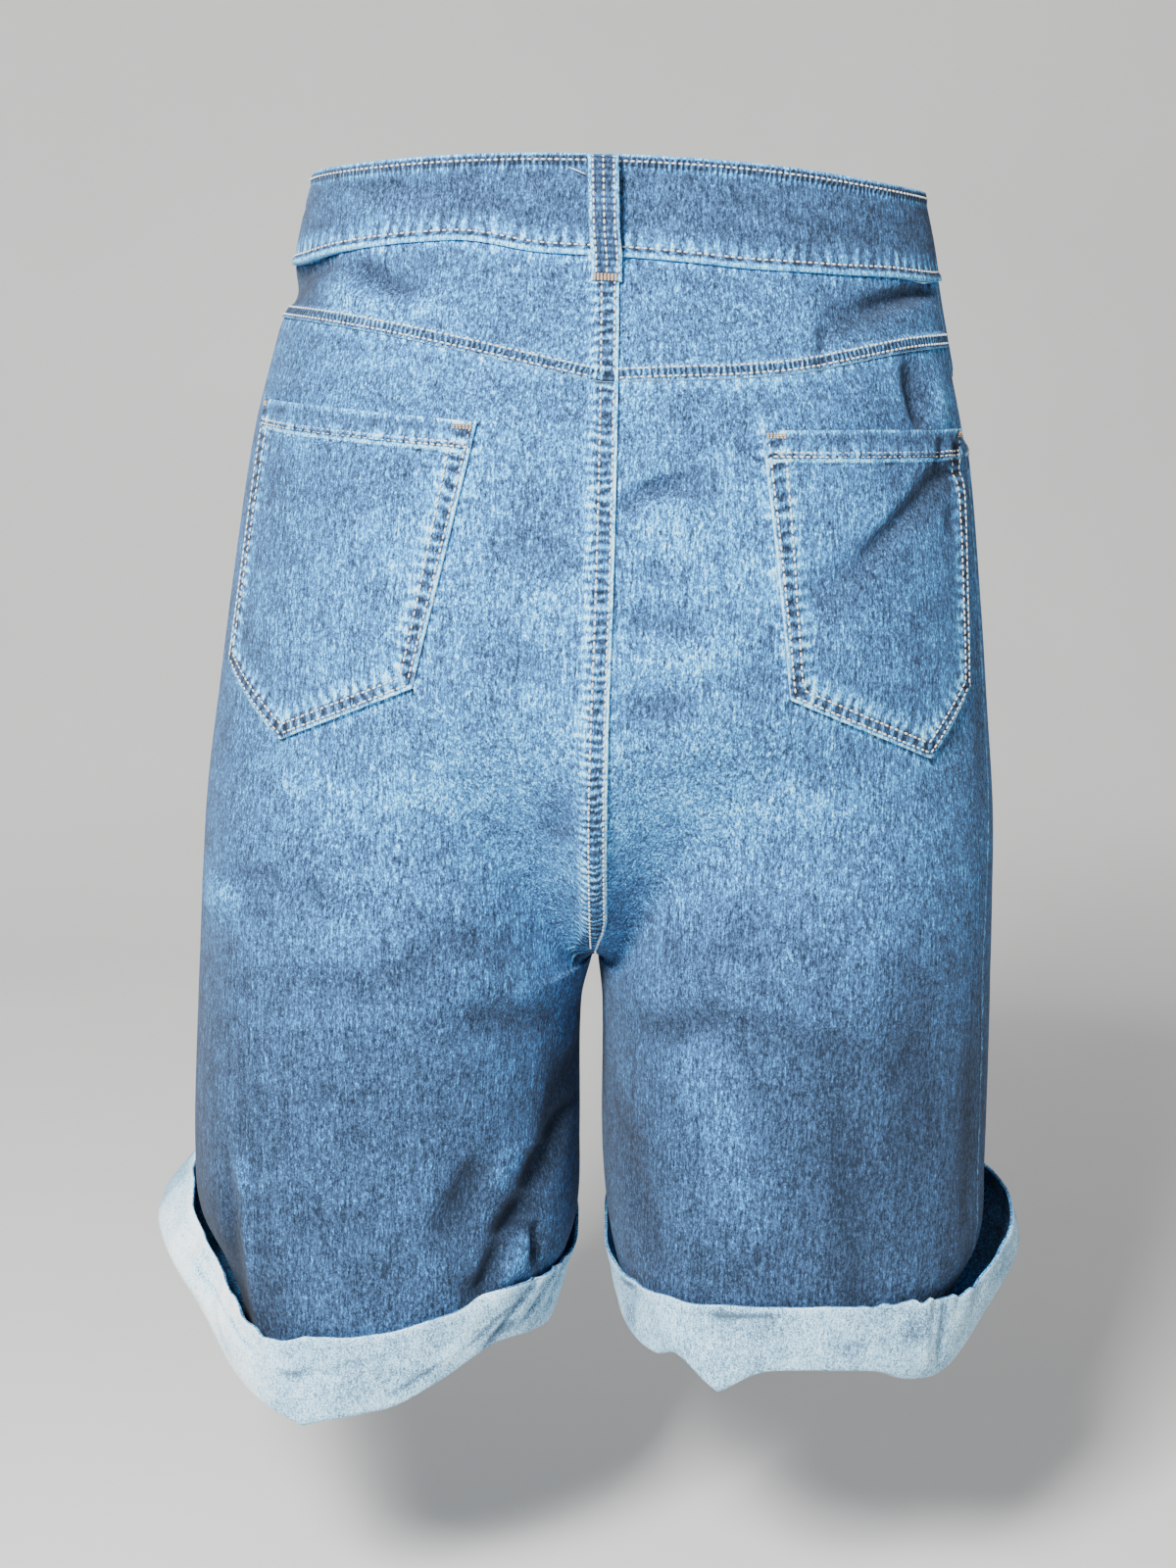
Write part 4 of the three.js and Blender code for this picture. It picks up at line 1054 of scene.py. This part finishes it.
def add_front(side):
    name = "front_panel_" + NAMES[side]
    columns, mouth_rows = 104, 40
    across = steps(columns)
    top = seam_height(BAND_SEAM, MOUTH["share"] * across)
    upper = mix(top, MOUTH["end"], np.sin(steps(mouth_rows)[:, None] ** 0.9 * math.pi / 2))
    lower = panel_rows(0.5 * across, np.full(columns, MOUTH["end"]), side, 110, 84)
    z = np.concatenate([upper, lower[1:]])
    edge = np.where(np.arange(len(z))[:, None] < mouth_rows, mouth_edge(z), FRONT_SIDE)
    lap = FLY["lap"] * smooth((z - FLY["end"]) / 10) if side == LEFT else 0.0
    s = mix(FRONT_EDGE - lap, np.minimum(edge, FRONT_SIDE), across)
    mouth_z = mix(BAND_SEAM["side"], MOUTH["end"], np.sin(steps(120) * math.pi / 2))
    for inset in (0.006, 0.022):
        row_s = mouth_edge(mouth_z) - inset
        sew(name, cloth(side, row_s, mouth_z - inset * 60, 0.2), outward(side, row_s, mouth_z))
    if side == LEFT:
        # The fly's curved double row of stitches, and the straight one down the seam below it.
        bend = FLY["end"] + FLY["bend"]
        angle = np.linspace(0, math.pi / 2, 60)
        for inset in (0.0, 4.5):
            reach = (FLY["width"] - inset) / HALF_ROUND
            row_s = np.concatenate([np.full(80, reach), reach * np.cos(angle)])
            curve = bend - (FLY["bend"] - inset) * np.sin(angle)
            row_z = np.concatenate([np.linspace(BAND_SEAM["front"], bend, 80), curve])
            sew_on(name, side, row_s, row_z, fly_lift(side, row_s, row_z) + 0.25)
        row_z = np.linspace(FLY["end"] - 6, CROTCH_Z + 14, 300)
        for row_s in (0.006, 0.014):
            sew_on(name, side, np.full(300, row_s), row_z, 0.3)
    centre = cloth(side, 0.0, np.linspace(FLY["end"], CROTCH_Z + 1, 200))
    mouth = cloth(side, mouth_edge(mouth_z), mouth_z)
    outside = cloth(side, 0.5, np.linspace(MOUTH["end"], hem_fold(side, 0.5), 160))
    seams = [("a", centre, "border"), ("b", mouth, "border"), ("c", outside, "ribs")]
    add_panel(name, side, s, z, seams, fly_lift(side, s, z))


def add_facing(side):
    """The cloth behind the front pocket's mouth, which comes up to the panel's face at the side."""
    share = steps(50)[:, None]
    low = mix(BAND_SEAM["side"], MOUTH["end"] - MOUTH["below"], share)
    inner = np.minimum(mouth_edge(low) - MOUTH["under"], 0.5 - MOUTH["under"])
    s = mix(inner, FRONT_SIDE, steps(50))
    z = mix(seam_height(BAND_SEAM, s, side) - 2 * EDGE_GAP, low, share)
    sunk = 1 - smooth((s - mouth_edge(z - MOUTH["rise"]) - 0.02) / 0.05)
    add_panel("front_pocket_facing_" + NAMES[side], side, s, z, [], -(CLOTH + MOUTH["drop"]) * sunk)


def add_waistband():
    """One strip right round, from its end under the lap on the right to its end over it on the left."""
    g = np.linspace(-BAND_LAP["under"], 2 + BAND_LAP["over"], 760)
    s = np.where(g < 1, g, 2 - g)
    rows = 34
    lifted = smooth((g - 2 + BAND_LAP["under"] + BAND_LAP["ramp"]) / BAND_LAP["ramp"]) * (BAND_CLOTH + LAYER_GAP)
    top = seam_height(BAND_TOP, s)
    low = np.where(g >= 1, seam_height(BAND_SEAM, s, LEFT), seam_height(BAND_SEAM, s, RIGHT))
    z = mix(top, low + EDGE_GAP, steps(rows)[:, None])
    from_low, from_top = z - low, top - z
    # A raised lower edge, a soft swell, and a few long creases across the back.
    lift = BAND_OUT + lifted + 0.9 * smooth((4.0 - from_low) / 1.5) + 0.4 * smooth((5 - from_top) / 2)
    crease = np.zeros(z.shape)
    for place, reach, height, depth in BAND_CREASES:
        along = (g - place) / reach
        crease += depth * np.exp(-(along**2) - ((from_low - height - 4 * along) / 2.2) ** 2)

    def band_cloth(out):
        result = np.empty((*z.shape, 3))
        for side, mine in ((LEFT, g >= 1), (RIGHT, g < 1)):
            part = plain(side, s[mine], z[:, mine])
            result[:, mine] = part + outward(side, s[mine], z[:, mine]) * (out[:, mine] + dents_at(part))[..., None]
        return result

    outer = band_cloth(lift + crease)
    inner = band_cloth(BAND_OUT + lifted - BAND_CLOTH + 0 * z)
    normal = unit(outer - inner)
    columns = np.arange(len(g))
    for row_z in (low + 4.4, top - 2.6):
        k = np.clip(((top - row_z) / (top - low) * (rows - 1)).round().astype(int), 0, rows - 1)
        line = outer[k, columns] + normal[k, columns] * 0.15
        line[:, 2] = row_z
        sew("waistband", line, normal[k, columns])
    threads = add_threads("waistband", CREAM)
    marks = seam_marks(outer, [("a", outer[-1], "band"), ("b", outer[0], "narrow")])
    # Darker overall and from 8 mm above the lower edge upwards; painted shade in the long creases and towards the
    # wearer's right, away from the key light.
    wear_and_shade = -0.06 + crease * 0.12 - 0.05 * smooth((-outer[..., 0] - 20) / 80) - 0.04 * smooth((from_low - 8) / 6)
    piece = add_wall("waistband", outer, inner, [DENIM, DENIM_SEAM], True, {"wear_and_shade": wear_and_shade} | marks)
    declare(outer, "waistband", with_pieces=[threads])


def add_belt_loop(key):
    side, s = LOOPS[key]
    name = "belt_loop_" + key
    top, seam = float(seam_height(BAND_TOP, s)), float(seam_height(BAND_SEAM, s))
    out = BAND_OUT + LOOP["gap"]
    middle = mix(top, seam, 0.5)
    # Heights down the strap, and how far it stands out there.
    path = np.array(
        [
            (top - 0.3, BAND_OUT + 0.4), (top - 0.9, out * 0.55), (top - 3.5, out - 0.6), (middle, out),
            (seam + 2, out - 0.5), (seam - 4, out * 0.66), (seam - 9, out * 0.3), (seam - LOOP["below"], 0.7),
        ]
    )
    z, stand = relax(drawn_out(path, 120), 24).T
    across = level(plain(side, s + 0.005, middle) - plain(side, s - 0.005, middle))
    away = level(outward(side, s, middle))
    points = cloth(side, s, z) + away * stand[:, None]
    if key == "back":
        points[:, 0] -= 0.9 * smooth((seam + 8 - z) / 14)
    # Folded edges stand up a little on both sides of the strap.
    width = np.linspace(-0.5, 0.5, 26) * LOOP["width"]
    edge = np.abs(width)
    profile = LOOP["cloth"] + 0.35 * bell(edge - 5.0, 1.2) - 0.8 * smooth((edge - 5.7) / 0.8)
    inner = points[:, None] + across * width[None, :, None]
    outer = inner + away * profile[None, :, None]
    for shift in (-4.4, 0.0, 4.4):
        line = (points + across * shift + away * (LOOP["cloth"] + 0.3))[6:-8]
        sew(name, line, np.tile(away, (len(line), 1)))
    if key == "back":
        # A loose end of thread lies beside the strap.
        row_z = np.linspace(14, 10, 6)
        sew_on(name, LEFT, place_at(LEFT, np.linspace(16, 6, 6), row_z), row_z, BAND_OUT + 1.2, LOOSE_END)
    cream = add_threads(name, CREAM)
    for k in (117, 115, 113, 111):
        line = np.stack([inner[k, 1], inner[k, -2]]) + away * (LOOP["cloth"] + 0.35)
        sew(name + "_tack", line, np.tile(away, (2, 1)), LOOP_TACK)
    tan = add_threads(name + "_tack", TAN)
    dashes = (np.sin(2 * np.pi * line_lengths(points) / STITCH_PITCH) > 0.1)[:, None]
    wear_and_shade = 0.5 * bell(6.1 - edge, 1.3) - 0.22 * dashes * smooth((5.2 - edge) / 0.6) - 0.02
    attributes = {"wear_and_shade": wear_and_shade} | seam_marks(outer, [])
    piece = add_wall(name, outer, inner, [DENIM_SEAM, DENIM_SEAM], side < 0, attributes)
    declare(outer, name, with_pieces=[cream, tan])


def ripple(turn, *waves):
    """A sum of waves round a ring: (count, size, offset)."""
    return sum(size * np.sin(2 * np.pi * (count * turn + offset)) for count, size, offset in waves)


def add_cuff(side):
    name = "cuff_" + NAMES[side]
    turn = np.linspace(0, 1, 420, endpoint=False)
    shape = ("fold", "height", "foot", "bulge", "rim")
    fold, height, foot, bulge, rim = (read(CUFFS[side], key, turn) for key in shape)
    place, drop, reach = CUFF_TIPS[side]
    tip = drop * np.exp(-np.abs(turn - place) / reach)
    fold, height = fold - tip, height + tip
    # The rim is cut unevenly and curls a little on the outside of the leg.
    outside = bell(turn - 0.55, 0.1)
    height = height + ripple(turn, (7, 0.5, 0.1), (13, 0.4, 0.4))
    height = height + outside * ripple(turn, (38, 0.9, 0.2), (57, 0.6, 0))
    rim = rim + ripple(turn, (9, 0.35, 0.3), (16, 0.3, 0.7)) + outside * ripple(turn, (30, 0.6, 0.5))
    floor = fold - LAYER_GAP
    # Out from the leg and up: in under its lower edge, round the fold and up to the rim.
    path = [
        (-CLOTH * 0.6, floor - 0.8),
        (foot * 0.3 + 0.5, floor - 2.0),
        (foot * 0.8 + 2.4, floor - 0.6),
        (foot + 2.7, floor + 6),
        (mix(foot, bulge, 0.7) + 2.2, fold + 0.33 * height),
        (bulge + 1.4, fold + 0.55 * height),
        (mix(bulge, rim, 0.6) + 1.6, fold + 0.8 * height),
        (rim + 1.4, fold + height),
    ]
    out, z = (
        relax(drawn_out(np.stack([np.broadcast_to(row[k], turn.shape) for row in path]), 46), 6) for k in (0, 1)
    )
    up = clamp((z - fold) / height)
    creases = np.zeros(z.shape)
    for place, lean, reach, depth in CUFF_CREASES[side]:
        creases += depth * bell(turn - place - lean * (up - 0.5), reach) * smooth(up * 3)
    held = np.maximum(z, fold)
    way = level(outward(side, np.broadcast_to(turn, z.shape), held))
    outer = cloth(side, turn[None], held) + way * (out + creases)[..., None]
    outer[..., 2] = z
    normal = unit(np.cross(np.gradient(outer, axis=0), np.roll(outer, -1, 1) - np.roll(outer, 1, 1)))
    normal *= np.sign(np.mean(normal[-6] * way[-6]))
    inner = outer - normal * CLOTH
    below_rim = (1 - up) * height
    # A pale frayed rim and a darker line 5 mm below it; painted shade in the creases and painted light on their
    # ridges.
    wear_and_shade = 0.18 * bell(below_rim, 1.2) - 0.1 * bell(below_rim - 5.0, 0.7) + 0.1 * creases
    painted_highlight = np.zeros(z.shape)
    if side == LEFT:
        # Painted shade: a thin dark line under the curled rim on the outside of the leg. Painted highlight: the
        # outside of the leg, which faces the key light, is made paler.
        wear_and_shade -= 0.4 * bell(below_rim - 10.0, 1.1) * bell(turn - 0.59, 0.05, 4)
        painted_highlight += 0.45 * bell(turn - 0.57, 0.07, 4)
    # Painted shade along soft creases of the turned-up hems.
    for rise, place, slope, reach, width, depth in CUFF_SHADE_LINES[side]:
        line = bell(up - rise - slope * (turn - place), width) * bell(turn - place, reach, 4)
        wear_and_shade -= depth * line
    attributes = {"wear_and_shade": wear_and_shade, "painted_highlight": painted_highlight} | seam_marks(outer, [])
    attributes = {key: values[::-1] for key, values in attributes.items()}
    piece = add_wall(name, outer[::-1], inner[::-1], [REVERSE, DENIM], side < 0, attributes, True)
    declare(outer, name)


def add_button():
    """The CAD button keeps its shape and gets a worn brass finish."""
    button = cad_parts["waist_button"]
    button.data.materials.clear()
    button.data.materials.append(BRASS)


# The studio, in metres.


def add_floor():
    """A floor below the hems that curves up into a wall."""
    floor_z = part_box("cuff_left")[0][2] - 0.12
    edge, radius, half_width, wall_top = -1.2, 1.0, 3.5, 3.2
    angles = np.linspace(0, math.pi / 2, 16)
    curve = [(edge - math.sin(a) * radius, radius - math.cos(a) * radius) for a in angles[1:]]
    profile = [(2.2, 0.0), (edge, 0.0), *curve, (edge - radius, wall_top)]
    verts = [(x, y, floor_z + z) for y, z in profile for x in (-half_width, half_width)]
    faces = [(2 * k, 2 * k + 1, 2 * k + 3, 2 * k + 2) for k in range(len(profile) - 1)]
    n = Nodes("floor")
    look = n.finish(Base_Color=n.ramp(n.noise(0.004, 3.0), *FLOOR_TONES), Roughness=0.9)
    add_mesh("floor", verts, faces, [look])


def add_light(name, place, aim, size, power, colour=(1, 1, 1)):
    data = bpy.data.lights.new(name, "AREA")
    data.shape = "RECTANGLE"
    data.size, data.size_y = size
    data.energy = power
    data.color = colour
    light = bpy.data.objects.new(name, data)
    way = Vector(aim) - Vector(place)
    light.matrix_world = Matrix.Translation(place) @ way.to_track_quat("-Z", "Y").to_matrix().to_4x4()
    bpy.context.scene.collection.objects.link(light)


def add_lights():
    middle = (0, 0, -0.2)
    add_light("key", (0.64, 1.58, 0.9), middle, (0.5, 0.5), 126, (1.0, 0.99, 0.97))
    add_light("fill", (-2.0, 1.2, 0.0), middle, (1.2, 1.2), 9, (1.0, 0.88, 0.74))
    add_light("front", (0.4, -2.2, 0.8), middle, (1.6, 1.2), 33)
    world = bpy.data.worlds.new("world")
    bpy.context.scene.world = world
    world.use_nodes = True
    background = world.node_tree.nodes["Background"]
    background.inputs["Color"].default_value = (0.9, 0.93, 1.0, 1)
    background.inputs["Strength"].default_value = 0.27


for side in (LEFT, RIGHT):
    add_back(side)
    add_yoke(side)
    add_back_pocket(side)
    add_front(side)
    add_facing(side)
    add_cuff(side)
add_waistband()
for key in LOOPS:
    add_belt_loop(key)
add_button()
add_floor()
add_lights()
